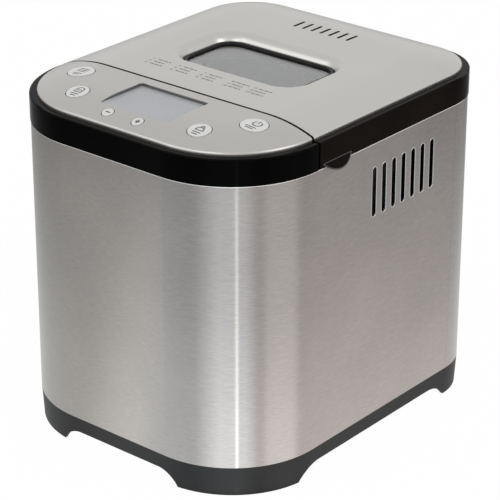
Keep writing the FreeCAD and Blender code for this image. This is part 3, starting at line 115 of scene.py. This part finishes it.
# Sockets and sizes of the surface effects
COLOUR = "NodeSocketColor"
NUMBER = "NodeSocketFloat"
PLACE = "NodeSocketVector"
GREY = (0.5, 0.5, 0.5, 1)
DRIFT_SCALE = 9.0
BRUSHED_STRENGTH = 0.03
BRUSHED_DEPTH = 0.02 * MM
MOULDED_DEPTH = 0.05 * MM


def brushed_group():
    """Fine scratches along one direction over a slow tone drift."""
    inputs = [("Grain", PLACE, (8, 8, 2000)), ("Dark", COLOUR, GREY), ("Light", COLOUR, GREY),
              ("Smooth", NUMBER, 0.25), ("Rough", NUMBER, 0.4)]
    group, given, result = effect_group("brushed_grain", inputs,
                                        [("Color", COLOUR), ("Roughness", NUMBER), ("Height", NUMBER)])
    place = group.nodes.new("ShaderNodeTexCoord")
    stretch = group.nodes.new("ShaderNodeVectorMath")
    stretch.operation = "MULTIPLY"
    lines = add(group, "ShaderNodeTexNoise", Scale=1.0, Detail=3.0, Roughness=0.6)
    drift = add(group, "ShaderNodeTexNoise", Scale=DRIFT_SCALE, Detail=2.0, Roughness=0.5)
    blend = group.nodes.new("ShaderNodeMix")
    blend.data_type = "RGBA"
    mixed = add(group, "ShaderNodeMath")
    mixed.operation = "ADD"
    half = add(group, "ShaderNodeMath")
    half.operation = "MULTIPLY"
    half.inputs[1].default_value = 0.5
    spread = group.nodes.new("ShaderNodeMapRange")
    link = group.links.new
    link(place.outputs["Object"], stretch.inputs[0])
    link(given.outputs["Grain"], stretch.inputs[1])
    link(stretch.outputs["Vector"], lines.inputs["Vector"])
    link(place.outputs["Object"], drift.inputs["Vector"])
    link(lines.outputs["Fac"], mixed.inputs[0])
    link(drift.outputs["Fac"], mixed.inputs[1])
    link(mixed.outputs["Value"], half.inputs[0])
    link(half.outputs["Value"], blend.inputs["Factor"])
    link(given.outputs["Dark"], blend.inputs["A"])
    link(given.outputs["Light"], blend.inputs["B"])
    link(half.outputs["Value"], spread.inputs["Value"])
    link(given.outputs["Smooth"], spread.inputs["To Min"])
    link(given.outputs["Rough"], spread.inputs["To Max"])
    link(blend.outputs["Result"], result.inputs["Color"])
    link(spread.outputs["Result"], result.inputs["Roughness"])
    link(lines.outputs["Fac"], result.inputs["Height"])
    return group


def mottled_group():
    """A slow tone drift with a fine surface grain."""
    inputs = [("Patch", NUMBER, 30.0), ("Grain", NUMBER, 900.0), ("Dark", COLOUR, GREY),
              ("Light", COLOUR, GREY), ("Smooth", NUMBER, 0.3), ("Rough", NUMBER, 0.5)]
    group, given, result = effect_group("moulded_surface", inputs,
                                        [("Color", COLOUR), ("Roughness", NUMBER), ("Height", NUMBER)])
    place = group.nodes.new("ShaderNodeTexCoord")
    patch = add(group, "ShaderNodeTexNoise", Detail=3.0)
    grain = add(group, "ShaderNodeTexNoise", Detail=2.0)
    blend = group.nodes.new("ShaderNodeMix")
    blend.data_type = "RGBA"
    spread = group.nodes.new("ShaderNodeMapRange")
    link = group.links.new
    link(place.outputs["Object"], patch.inputs["Vector"])
    link(place.outputs["Object"], grain.inputs["Vector"])
    link(given.outputs["Patch"], patch.inputs["Scale"])
    link(given.outputs["Grain"], grain.inputs["Scale"])
    link(patch.outputs["Fac"], blend.inputs["Factor"])
    link(given.outputs["Dark"], blend.inputs["A"])
    link(given.outputs["Light"], blend.inputs["B"])
    link(grain.outputs["Fac"], spread.inputs["Value"])
    link(given.outputs["Smooth"], spread.inputs["To Min"])
    link(given.outputs["Rough"], spread.inputs["To Max"])
    link(blend.outputs["Result"], result.inputs["Color"])
    link(spread.outputs["Result"], result.inputs["Roughness"])
    link(grain.outputs["Fac"], result.inputs["Height"])
    return group


BRUSHED = brushed_group()
MOULDED = mottled_group()


def tone(colour, factor):
    return (*(channel * factor for channel in colour), 1)


def surface(name, group, values, bump, **shader_values):
    """A principled material whose colour, roughness and grain come from one effect group.
    The bump is its strength and its depth."""
    material, tree = new_tree(name)
    effect = tree.nodes.new("ShaderNodeGroup")
    effect.node_tree = group
    for socket, value in values.items():
        effect.inputs[socket].default_value = value
    shader = add(tree, "ShaderNodeBsdfPrincipled", **shader_values)
    relief = add(tree, "ShaderNodeBump", Strength=bump[0], Distance=bump[1])
    output = tree.nodes.new("ShaderNodeOutputMaterial")
    link = tree.links.new
    link(effect.outputs["Color"], shader.inputs["Base Color"])
    link(effect.outputs["Roughness"], shader.inputs["Roughness"])
    link(effect.outputs["Height"], relief.inputs["Height"])
    link(relief.outputs["Normal"], shader.inputs["Normal"])
    link(shader.outputs["BSDF"], output.inputs["Surface"])
    return material


def brushed(name, colour, contrast, grain, rough, stretch=0.0, turn=0.0):
    """Brushed metal. Stretch spreads its highlights across the grain."""
    values = {"Grain": grain, "Dark": tone(colour, 1 - contrast), "Light": tone(colour, 1 + contrast),
              "Smooth": rough[0], "Rough": rough[1]}
    material = surface(name, BRUSHED, values, (BRUSHED_STRENGTH, BRUSHED_DEPTH), Metallic=1.0,
                       Anisotropic=stretch, Anisotropic_Rotation=turn)
    if stretch:
        tree = material.node_tree
        around = tree.nodes.new("ShaderNodeTangent")
        around.direction_type = "RADIAL"
        around.axis = "Z"
        shader = next(node for node in tree.nodes if node.type == "BSDF_PRINCIPLED")
        tree.links.new(around.outputs["Tangent"], shader.inputs["Tangent"])
    return material


def moulded(name, colour, contrast, rough, grain=900.0, bump=0.05, patch=30.0, **shader_values):
    """Moulded plastic, rubber, glass or ink with a slow drift of tone."""
    values = {"Patch": patch, "Grain": grain, "Dark": tone(colour, max(0, 1 - contrast)),
              "Light": tone(colour, 1 + contrast), "Smooth": rough[0], "Rough": rough[1]}
    return surface(name, MOULDED, values, (bump, MOULDED_DEPTH), **shader_values)


# How often the grain repeats in a metre along x, y and z
ROUND_GRAIN = (150, 150, 1400)
CROSS_GRAIN = (10, 900, 10)
TURNED_GRAIN = (60, 60, 1500)

FINISHES = {
    "brushed_shell": brushed("brushed_shell", (0.42, 0.382, 0.365), 0.38, ROUND_GRAIN, (0.19, 0.27),
                             stretch=1.0, turn=0.25),
    "brushed_plate": brushed("brushed_plate", (0.495, 0.486, 0.468), 0.10, CROSS_GRAIN, (0.30, 0.40)),
    "black_band": moulded("black_band", (0.0016, 0.0013, 0.0012), 0.2, (0.05, 0.09), bump=0.01,
                          Specular_IOR_Level=0.03),
    "base_grey": moulded("base_grey", (0.0138, 0.0124, 0.0122), 0.12, (0.45, 0.60), 1400.0, 0.25,
                         Specular_IOR_Level=0.3),
    "inner_black": moulded("inner_black", (0.018, 0.018, 0.018), 0.2, (0.40, 0.55), 1400.0, 0.2),
    "trim_grey": moulded("trim_grey", (0.13, 0.13, 0.125), 0.06, (0.30, 0.42), 1400.0, 0.1),
    "dark_rubber": moulded("dark_rubber", (0.014, 0.014, 0.014), 0.2, (0.55, 0.75), 1200.0, 0.2),
    "seal_silicone": moulded("seal_silicone", (0.30, 0.30, 0.29), 0.08, (0.45, 0.60), 800.0, 0.1),
    "window_clear": moulded("window_clear", (0.86, 0.88, 0.88), 0.01, (0.02, 0.05), bump=0.0,
                            Transmission_Weight=1.0, IOR=1.70),
    "display_clear": moulded("display_clear", (0.62, 0.635, 0.66), 0.04, (0.10, 0.14), bump=0.0, Alpha=0.6),
    "display_grey": moulded("display_grey", (0.68, 0.70, 0.73), 0.05, (0.30, 0.40), bump=0.0),
    "button_silver": moulded("button_silver", (0.70, 0.70, 0.69), 0.03, (0.28, 0.36), 1600.0, 0.05),
    "liner_alloy": brushed("liner_alloy", (0.60, 0.60, 0.61), 0.05, CROSS_GRAIN, (0.32, 0.42)),
    "chamber_sheet": brushed("chamber_sheet", (0.50, 0.50, 0.51), 0.08, ROUND_GRAIN, (0.38, 0.50)),
    "pan_coating": moulded("pan_coating", (0.045, 0.045, 0.047), 0.15, (0.28, 0.42), 1500.0, 0.2,
                           Metallic=0.3),
    "heater_sheath": brushed("heater_sheath", (0.16, 0.15, 0.14), 0.25, TURNED_GRAIN, (0.40, 0.55)),
    "bright_steel": brushed("bright_steel", (0.58, 0.58, 0.58), 0.06, TURNED_GRAIN, (0.22, 0.34)),
    "bush_bronze": brushed("bush_bronze", (0.50, 0.33, 0.15), 0.10, TURNED_GRAIN, (0.30, 0.42)),
    "heater_ceramic": moulded("heater_ceramic", (0.70, 0.68, 0.63), 0.05, (0.55, 0.70), 1500.0, 0.2),
    "stator_iron": brushed("stator_iron", (0.22, 0.14, 0.09), 0.15, TURNED_GRAIN, (0.40, 0.55)),
    "board_green": moulded("board_green", (0.030, 0.150, 0.065), 0.15, (0.30, 0.45), 700.0, 0.05),
    "component_black": moulded("component_black", (0.025, 0.025, 0.028), 0.2, (0.40, 0.55), 1200.0, 0.1),
}


# The lid's side of the black band, its colour patched with brown as a painted reflection
BAND_PAINTED_REFLECTION = moulded("black_band_lid_painted_reflection", (0.0034, 0.0022, 0.0017), 3.2, (0.05, 0.09), bump=0.01, patch=14.0,
                    Specular_IOR_Level=0.03)


# The control panel's plate: the plate steel made darker all over as painted shade
PANEL_STEEL_PAINTED_SHADE = brushed("brushed_panel_painted_shade", (0.445, 0.433, 0.418), 0.10, CROSS_GRAIN, (0.28, 0.38))


def dress_nodes():
    """Every node takes the finish of its slot in the record, apart from two: the lid's band carries a
    painted reflection and the panel plate painted shade.
    """
    for entry in frame["record"]["subparts"]:
        node = frame["nodes"][entry["node"]]
        node.data.materials.clear()
        node.data.materials.append(FINISHES[entry["material_slot"]])
    # painted reflection: brown patches in the lid band's colour
    frame["nodes"]["lid_frame"].data.materials[0] = BAND_PAINTED_REFLECTION
    # painted shade: the panel plate darker than the lid's steel
    frame["nodes"]["panel_plate"].data.materials[0] = PANEL_STEEL_PAINTED_SHADE


# Printed marks, laid on the surface of the part that carries them
PRINT_LIFT = 0.06 * MM
INK = moulded("printed_ink", (0.06, 0.06, 0.065), 0.1, (0.45, 0.55))
BUTTON_INK = moulded("printed_button_ink", (0.10, 0.10, 0.105), 0.1, (0.45, 0.55))
PALE_INK = moulded("printed_pale_ink", (0.12, 0.12, 0.12), 0.1, (0.45, 0.55))


def surface_of(node):
    mesh = frame["nodes"][node].data
    return BVHTree.FromPolygons([v.co for v in mesh.vertices], [p.vertices for p in mesh.polygons])


def laid(name, node, points, faces, material):
    """A thin mark of flat faces, dropped onto the top of a node and carried by its body."""
    tree = surface_of(node)
    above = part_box(node)[1].z + MM
    placed = []
    for x, y in points:
        hit = tree.ray_cast(Vector((x, y, above)), Vector((0, 0, -1)))[0]
        placed.append((x, y, hit.z + PRINT_LIFT))
    mesh = bpy.data.meshes.new(name)
    mesh.from_pydata(placed, [], faces)
    mesh.materials.append(material)
    mark = bpy.data.objects.new(name, mesh)
    bpy.context.scene.collection.objects.link(mark)
    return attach(mark, frame["nodes"][node]["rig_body"])


def stroke(points, width):
    """A ribbon of one width along a line of points, as corner points and faces."""
    corners, faces = [], []
    count = len(points)
    for index, point in enumerate(points):
        before, after = points[max(index - 1, 0)], points[min(index + 1, count - 1)]
        along = (after - before).normalized()
        across = Vector((-along.y, along.x)) * (width / 2)
        corners += [point + across, point - across]
    for index in range(count - 1):
        start = 2 * index
        faces.append((start, start + 1, start + 3, start + 2))
    return corners, faces


def straight(x0, y0, x1, y1, steps=4):
    ends = Vector((x0, y0)), Vector((x1, y1))
    return [ends[0].lerp(ends[1], step / steps) for step in range(steps + 1)]


def bow(x, y, radius, start, end, steps=16):
    """Points along an arc, angles in degrees."""
    turns = [math.radians(start + (end - start) * step / steps) for step in range(steps + 1)]
    return [Vector((x + radius * math.cos(turn), y + radius * math.sin(turn))) for turn in turns]


def printed(name, node, lines, width, material):
    """One mark made of several ribbons, given in millimetres from the middle of its node."""
    low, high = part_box(node)
    middle = (low + high).xy / 2
    shapes = [stroke([middle + point * MM for point in line], width * MM) for line in lines]
    return laid(name, node, *joined(shapes), material)


LABEL_STEP = 2.4
LABEL_SHARE = 0.7
LARGE_LINE = 1.1
MIDDLE_LINE = 1.0
SIGN_LINE = 1.2
SIGN_HALF = 2.1


def label_bars(half, rise):
    """Two short bars that stand for a button's label."""
    short, below = LABEL_SHARE * half, rise - LABEL_STEP
    return [straight(-half, rise, half, rise), straight(-short, below, short, below)]


def button_marks():
    """Plain symbols, drawn in millimetres: list, start and stop, crust tone, loaf size, minus and plus."""
    rows = [straight(-4.6, y, 4.6, y) for y in (5.2, 2.5, -0.2)]
    printed("menu_mark", "menu_button", rows + label_bars(4.4, -4.2), LARGE_LINE, BUTTON_INK)
    power = [bow(1.2, 2.4, 3.6, 125, 415), straight(1.2, 3.0, 1.2, 7.2)]
    printed("start_mark", "start_button", power + label_bars(5.0, -4.0), LARGE_LINE, BUTTON_INK)
    loaf = [bow(0, 2.6, 3.4, 0, 180), straight(-3.4, 2.8, -3.4, -0.8), straight(-3.6, -0.8, 3.6, -0.8),
            straight(3.4, -0.8, 3.4, 2.8), straight(-1.3, 3.4, -1.3, 0.6), straight(1.3, 3.4, 1.3, 0.6)]
    printed("colour_mark", "colour_button", loaf + label_bars(3.8, -3.6), MIDDLE_LINE, BUTTON_INK)
    scale = [straight(-3.6, -0.8, 3.6, -0.8), straight(3.6, -0.8, 2.3, 3.0), straight(2.3, 3.0, -2.3, 3.0),
             straight(-2.3, 3.0, -3.6, -0.8), bow(0, 4.3, 1.2, 0, 360)]
    printed("size_mark", "size_button", scale + label_bars(3.8, -3.6), MIDDLE_LINE, BUTTON_INK)
    level = straight(-SIGN_HALF, 0, SIGN_HALF, 0)
    upright = straight(0, -SIGN_HALF, 0, SIGN_HALF)
    printed("minus_mark", "minus_button", [level], SIGN_LINE, INK)
    printed("plus_mark", "plus_button", [level, upright], SIGN_LINE, INK)


# Programme list: millimetres on the lid, and each word's share of its line
LIST_COLUMNS = (-64.0, -37.5, -11.4, 16.0, 38.3)
LIST_ROWS = (-36.0, -41.0, -46.0)
DIGIT_HEIGHT = 3.6
BAR_START = 5.2
BAR_RISE = DIGIT_HEIGHT / 3
BAR_LENGTHS = (13.0, 10.0, 12.0)
BAR_WIDTH = 1.1
WORD_ENDS = ((0, 0.34), (0.42, 0.74), (0.82, 1))


def number_shape(text, x, y, height):
    """A number as flat corner points and faces, in millimetres from its lower left corner."""
    curve = bpy.data.curves.new("number", "FONT")
    curve.body = text
    curve.size = height * MM
    holder = bpy.data.objects.new("number", curve)
    bpy.context.scene.collection.objects.link(holder)
    graph = bpy.context.evaluated_depsgraph_get()
    flat = holder.evaluated_get(graph).to_mesh()
    points = [Vector((v.co.x + x * MM, v.co.y + y * MM)) for v in flat.vertices]
    faces = [tuple(p.vertices) for p in flat.polygons]
    bpy.data.objects.remove(holder)
    return points, faces


def joined(shapes):
    points, faces = [], []
    for corners, sides in shapes:
        faces += [tuple(len(points) + corner for corner in side) for side in sides]
        points += corners
    return points, faces


def programme_list():
    """Numbered lines in front of the window, one for each programme."""
    shapes, count = [], 0
    for column in LIST_COLUMNS:
        for row, length in zip(LIST_ROWS, BAR_LENGTHS):
            count += 1
            shapes.append(number_shape(str(count), column, row, DIGIT_HEIGHT))
            start, height = column + BAR_START, row + BAR_RISE
            for first, last in WORD_ENDS:
                word = straight(start + first * length, height, start + last * length, height)
                shapes.append(stroke([point * MM for point in word], BAR_WIDTH * MM))
    laid("programme_list", "lid_plate", *joined(shapes), PALE_INK)


# Rolled edges round the side air slots, in millimetres
SLOT_COUNT = 7
SLOT_PITCH = 12.33
SLOT_FIRST = -1.6
SLOT_WIDTH = 5.4
SLOT_LENGTH = 41.0
SLOT_MIDDLE = 218.8
RIM_RADIUS = 0.45
RIM_STEPS = 10
TUBE_ROUNDNESS = 2


def slot_path(y, z):
    """Points round one slot, in millimetres in the plane of the side wall."""
    radius = SLOT_WIDTH / 2 + RIM_RADIUS / 2
    reach = SLOT_LENGTH / 2 - SLOT_WIDTH / 2
    path = []
    for height, start in ((z + reach, 0), (z - reach, 180)):
        path += bow(y, height, radius, start, start + 180, RIM_STEPS)
    return path


def tubes(name, paths, radius, closed, material, body):
    """Round wires along lists of points in metres, carried by a body."""
    curve = bpy.data.curves.new(name, "CURVE")
    curve.dimensions = "3D"
    curve.bevel_depth = radius
    curve.bevel_resolution = TUBE_ROUNDNESS
    for path in paths:
        spline = curve.splines.new("POLY")
        spline.points.add(len(path) - 1)
        spline.use_cyclic_u = closed
        for knot, point in zip(spline.points, path):
            knot.co = (*point, 1)
    curve.materials.append(material)
    wire = bpy.data.objects.new(name, curve)
    bpy.context.scene.collection.objects.link(wire)
    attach(wire, body)


def slot_rims():
    """A rim round each slot of both side walls."""
    half_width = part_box("body_shell")[1].x - RIM_RADIUS / 2 * MM
    outlines = [slot_path(SLOT_FIRST + index * SLOT_PITCH, SLOT_MIDDLE) for index in range(SLOT_COUNT)]
    for side, label in ((1, "right"), (-1, "left")):
        paths = [[(side * half_width, point.x * MM, point.y * MM) for point in outline]
                 for outline in outlines]
        tubes(f"slot_rims_{label}", paths, RIM_RADIUS * MM, True, FINISHES["bright_steel"],
              "body")


# Upper edge of the shell under the black band, a real rolled edge whose steel is lightened far past the
# shell's as a painted highlight, in millimetres
LIP_RADIUS = 0.45
LIP_INSET = 0.2
LIP_STEPS = 240
# painted highlight: steel much lighter than the shell's
LIP_PAINTED_HIGHLIGHT = brushed("lip_painted_highlight", (0.88, 0.87, 0.85), 0.05, TURNED_GRAIN, (0.15, 0.25))


def shell_lip():
    """A thin roll round the shell, set a little into its wall, its light steel a painted highlight."""
    low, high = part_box("body_shell")
    middle = (low + high) / 2
    middle.z = high.z - LIP_RADIUS * MM
    reach = (high - low).length
    tree = surface_of("body_shell")
    path = []
    for step in range(LIP_STEPS):
        turn = math.tau * step / LIP_STEPS
        outward = Vector((math.cos(turn), math.sin(turn), 0))
        place, facing, *_ = tree.ray_cast(middle + outward * reach, -outward)
        path.append(place - facing * LIP_INSET * MM)
    tubes("shell_lip", [path], LIP_RADIUS * MM, True, LIP_PAINTED_HIGHLIGHT, "body")


# Polished edge of the half-moon lift tab, in millimetres
TAB_MIDDLE = -49.0
TAB_HALF = 17.0
TAB_LOW = 254.7
TAB_HIGH = 261.7
TAB_FACE = 130.6
TAB_FLARE = 4.2
TAB_EDGE = 0.55
TAB_STEPS = 24
EDGE_GLOSS = moulded("tab_edge", (0.010, 0.009, 0.009), 0.2, (0.10, 0.16), bump=0.0,
                     Specular_IOR_Level=0.8)


def tab_edge():
    """A rim along the tab's arc, which leans outwards towards its foot, and along its chord."""
    sag = TAB_HIGH - TAB_LOW
    radius = (TAB_HALF ** 2 + sag ** 2) / (2 * sag)
    sweep = math.degrees(math.asin(TAB_HALF / radius))
    arc = bow(TAB_MIDDLE, TAB_LOW + radius, radius - TAB_EDGE, -90 - sweep, -90 + sweep, TAB_STEPS)
    rim = [((TAB_FACE + TAB_FLARE * (TAB_HIGH - point.y) / sag) * MM, point.x * MM, point.y * MM)
           for point in arc]
    tubes("tab_edge", [rim, [rim[0], rim[-1]]], TAB_EDGE * MM, False, EDGE_GLOSS, "lid")


# Studio: floor, sky, soft lamps and mirrored cards
def lit_by_path(tree, plain, white):
    """Plain for light that falls on the object, white where the picture, metal or glass sees it."""
    path = tree.nodes.new("ShaderNodeLightPath")
    link = tree.links.new
    seen = path.outputs["Is Camera Ray"]
    for ray in ("Is Glossy Ray", "Is Transmission Ray"):
        either = tree.nodes.new("ShaderNodeMath")
        either.operation = "MAXIMUM"
        link(seen, either.inputs[0])
        link(path.outputs[ray], either.inputs[1])
        seen = either.outputs["Value"]
    blend = tree.nodes.new("ShaderNodeMixShader")
    link(seen, blend.inputs["Fac"])
    link(plain, blend.inputs[1])
    link(white, blend.inputs[2])
    return blend.outputs["Shader"]


def white_world():
    """A white room."""
    world = bpy.data.worlds.new("white_room")
    bpy.context.scene.world = world
    world.use_nodes = True
    tree = world.node_tree
    tree.nodes.clear()
    plain = add(tree, "ShaderNodeBackground", Color=WHITE, Strength=WORLD_LEVEL)
    white = add(tree, "ShaderNodeBackground", Color=WHITE, Strength=1.0)
    output = tree.nodes.new("ShaderNodeOutputWorld")
    shade = lit_by_path(tree, plain.outputs["Background"], white.outputs["Background"])
    tree.links.new(shade, output.inputs["Surface"])


def flat_piece(name, corners, faces, material):
    """A piece of the studio made of flat faces."""
    mesh = bpy.data.meshes.new(name)
    mesh.from_pydata(corners, [], faces)
    mesh.materials.append(material)
    piece = bpy.data.objects.new(name, mesh)
    bpy.context.scene.collection.objects.link(piece)
    return piece


def fading(tree):
    """Brightness in mirror-like surfaces: full near the object, and less farther out."""
    place = tree.nodes.new("ShaderNodeTexCoord")
    reach = tree.nodes.new("ShaderNodeVectorMath")
    reach.operation = "LENGTH"
    fade = add(tree, "ShaderNodeMapRange", From_Min=DIM_NEAR, From_Max=DIM_FAR, To_Min=1.0,
               To_Max=DIM_SHARE)
    tree.links.new(place.outputs["Object"], reach.inputs[0])
    tree.links.new(reach.outputs["Value"], fade.inputs["Value"])
    return fade.outputs["Result"]


def mirrored_only(tree, strength):
    """The strength for mirror-like surfaces, and full white for the picture."""
    path = tree.nodes.new("ShaderNodeLightPath")
    level = tree.nodes.new("ShaderNodeMix")
    level.data_type = "FLOAT"
    level.inputs["A"].default_value = 1.0
    tree.links.new(path.outputs["Is Glossy Ray"], level.inputs["Factor"])
    tree.links.new(strength, level.inputs["B"])
    return level.outputs["Result"]


def pale_floor():
    """A white floor that keeps a part of the object's shadow."""
    material, tree = new_tree("pale_floor")
    paint = add(tree, "ShaderNodeBsdfDiffuse", Color=FLOOR_PAINT)
    glow = add(tree, "ShaderNodeEmission", Color=WHITE)
    tree.links.new(mirrored_only(tree, fading(tree)), glow.inputs["Strength"])
    white = add(tree, "ShaderNodeMixShader", Fac=FLOOR_WHITE)
    output = tree.nodes.new("ShaderNodeOutputMaterial")
    tree.links.new(paint.outputs["BSDF"], white.inputs[1])
    tree.links.new(glow.outputs["Emission"], white.inputs[2])
    shade = lit_by_path(tree, paint.outputs["BSDF"], white.outputs["Shader"])
    tree.links.new(shade, output.inputs["Surface"])
    half = FLOOR_SIZE / 2
    corners = [(x * half, y * half, -FLOOR_DROP) for x, y in ((-1, -1), (1, -1), (1, 1), (-1, 1))]
    flat_piece("floor", corners, [(0, 1, 2, 3)], material)


# Cards on the floor that the steel mirrors, with the radius of the shell's front corners
CARD_REACH = 2.0
CARD_LIFT = 1.0 * MM
CARD_GAP = 1.0 * MM
FRONT_CORNER = 80 * MM
BLEND_STEPS = 8


def view_back():
    """From the target towards the camera."""
    azimuth, elevation = math.radians(VIEW_AZIMUTH), math.radians(VIEW_ELEVATION)
    flat = math.cos(elevation)
    return Vector((math.sin(azimuth) * flat, -math.cos(azimuth) * flat, math.sin(elevation)))


def mirror_line(turn, shift):
    """Start and end on the floor of what the steel mirrors to the camera at one place on its outline.
    The turn is the wall's facing in degrees, from -90 at the front to 0 at the right, and the shift moves
    the place to the left along the front, in millimetres."""
    low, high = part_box("body_shell")
    facing = Vector((math.cos(math.radians(turn)), math.sin(math.radians(turn)), 0))
    hub = Vector((high.x - FRONT_CORNER - shift * MM, low.y + FRONT_CORNER, CARD_LIFT))
    start = hub + facing * (FRONT_CORNER + CARD_GAP)
    back = view_back()
    ahead = 2 * back.dot(facing) * facing - back
    ahead.z = 0
    return start, start + ahead.normalized() * CARD_REACH


PALE_TINT = (0.95, 1.01, 0.998)
COOL_TINT = (0.925, 1.012, 1.055)
SOFT_TINT = (0.985, 1.005, 1.01)

# Each card's facing and shift where it starts and ends, its brightness and its tint
CARDS = {
    "left_shade": ((-170, 100), (-90, 95), 0.9, PALE_TINT),
    "front_card": ((-90, 60), (-90, 35), 1.25, PALE_TINT),
    "front_shade": ((-90, 5), (-72, 0), 1.0, COOL_TINT),
    "corner_card": ((-58, 0), (-48.2, 0), 1.9, COOL_TINT),
    "bright_line": ((-47.9, 0), (-47.1, 0), 4.0, PALE_TINT),
    "corner_edge": ((-46.8, 0), (-43, 0), 1.8, COOL_TINT),
    "side_shade": ((-36, 0), (-33, 0), 1.1, SOFT_TINT),
    "side_card": ((-30, 0), (-14, 0), 1.4, SOFT_TINT),
    "side_end": ((-10, 0), (-8, 0), 1.0, SOFT_TINT),
}


def mirrored_cards():
    """The cards as one strip that only mirror-like surfaces see, each blending into the next."""
    material, tree = new_tree("mirrored_cards")
    colour = tree.nodes.new("ShaderNodeAttribute")
    colour.attribute_name = "glow"
    glow = tree.nodes.new("ShaderNodeEmission")
    output = tree.nodes.new("ShaderNodeOutputMaterial")
    tree.links.new(colour.outputs["Color"], glow.inputs["Color"])
    tree.links.new(fading(tree), glow.inputs["Strength"])
    tree.links.new(glow.outputs["Emission"], output.inputs["Surface"])
    edges = []
    for first, last, level, tint in CARDS.values():
        edges += [Vector((*place, *tone(tint, level))) for place in (first, last)]
    corners, colours = [], []
    for edge, following in zip(edges, edges[1:]):
        for step in range(BLEND_STEPS + 1):
            facing, shift, *shade = edge.lerp(following, step / BLEND_STEPS)
            corners += mirror_line(facing, shift)
            colours += [shade] * 2
    faces = [(i, i + 1, i + 3, i + 2) for i in range(0, len(corners) - 2, 2)]
    strip = flat_piece("mirrored_cards", corners, faces, material)
    shades = strip.data.color_attributes.new("glow", "FLOAT_COLOR", "POINT")
    for entry, value in zip(shades.data, colours):
        entry.color = value
    strip.visible_camera = False
    strip.visible_diffuse = False
    strip.visible_shadow = False
    strip.visible_transmission = False


def aimed(place):
    """The turn that points a lamp or camera from its place at the object's middle."""
    return (VIEW_TARGET - place).to_track_quat("-Z", "Y").to_euler()


def soft_lamp(name, place, watts):
    light = bpy.data.lights.new(name, "AREA")
    light.size = LAMP_SIZE
    light.energy = watts
    lamp = bpy.data.objects.new(name, light)
    lamp.location = place
    lamp.rotation_euler = aimed(place)
    bpy.context.scene.collection.objects.link(lamp)


def camera():
    data = bpy.data.cameras.new("photo_camera")
    data.lens = LENS
    data.sensor_width = SENSOR
    data.shift_x, data.shift_y = FRAME_SHIFT
    eye = bpy.data.objects.new("photo_camera", data)
    eye.location = VIEW_TARGET + view_back() * VIEW_DISTANCE
    eye.rotation_euler = aimed(eye.location)
    bpy.context.scene.collection.objects.link(eye)
    bpy.context.scene.camera = eye


def studio():
    white_world()
    pale_floor()
    mirrored_cards()
    for name, (place, watts) in LAMPS.items():
        soft_lamp(name, place, watts)
    bpy.context.scene.view_settings.view_transform = "Standard"
    camera()


dress_nodes()
button_marks()
programme_list()
slot_rims()
shell_lip()
tab_edge()
studio()
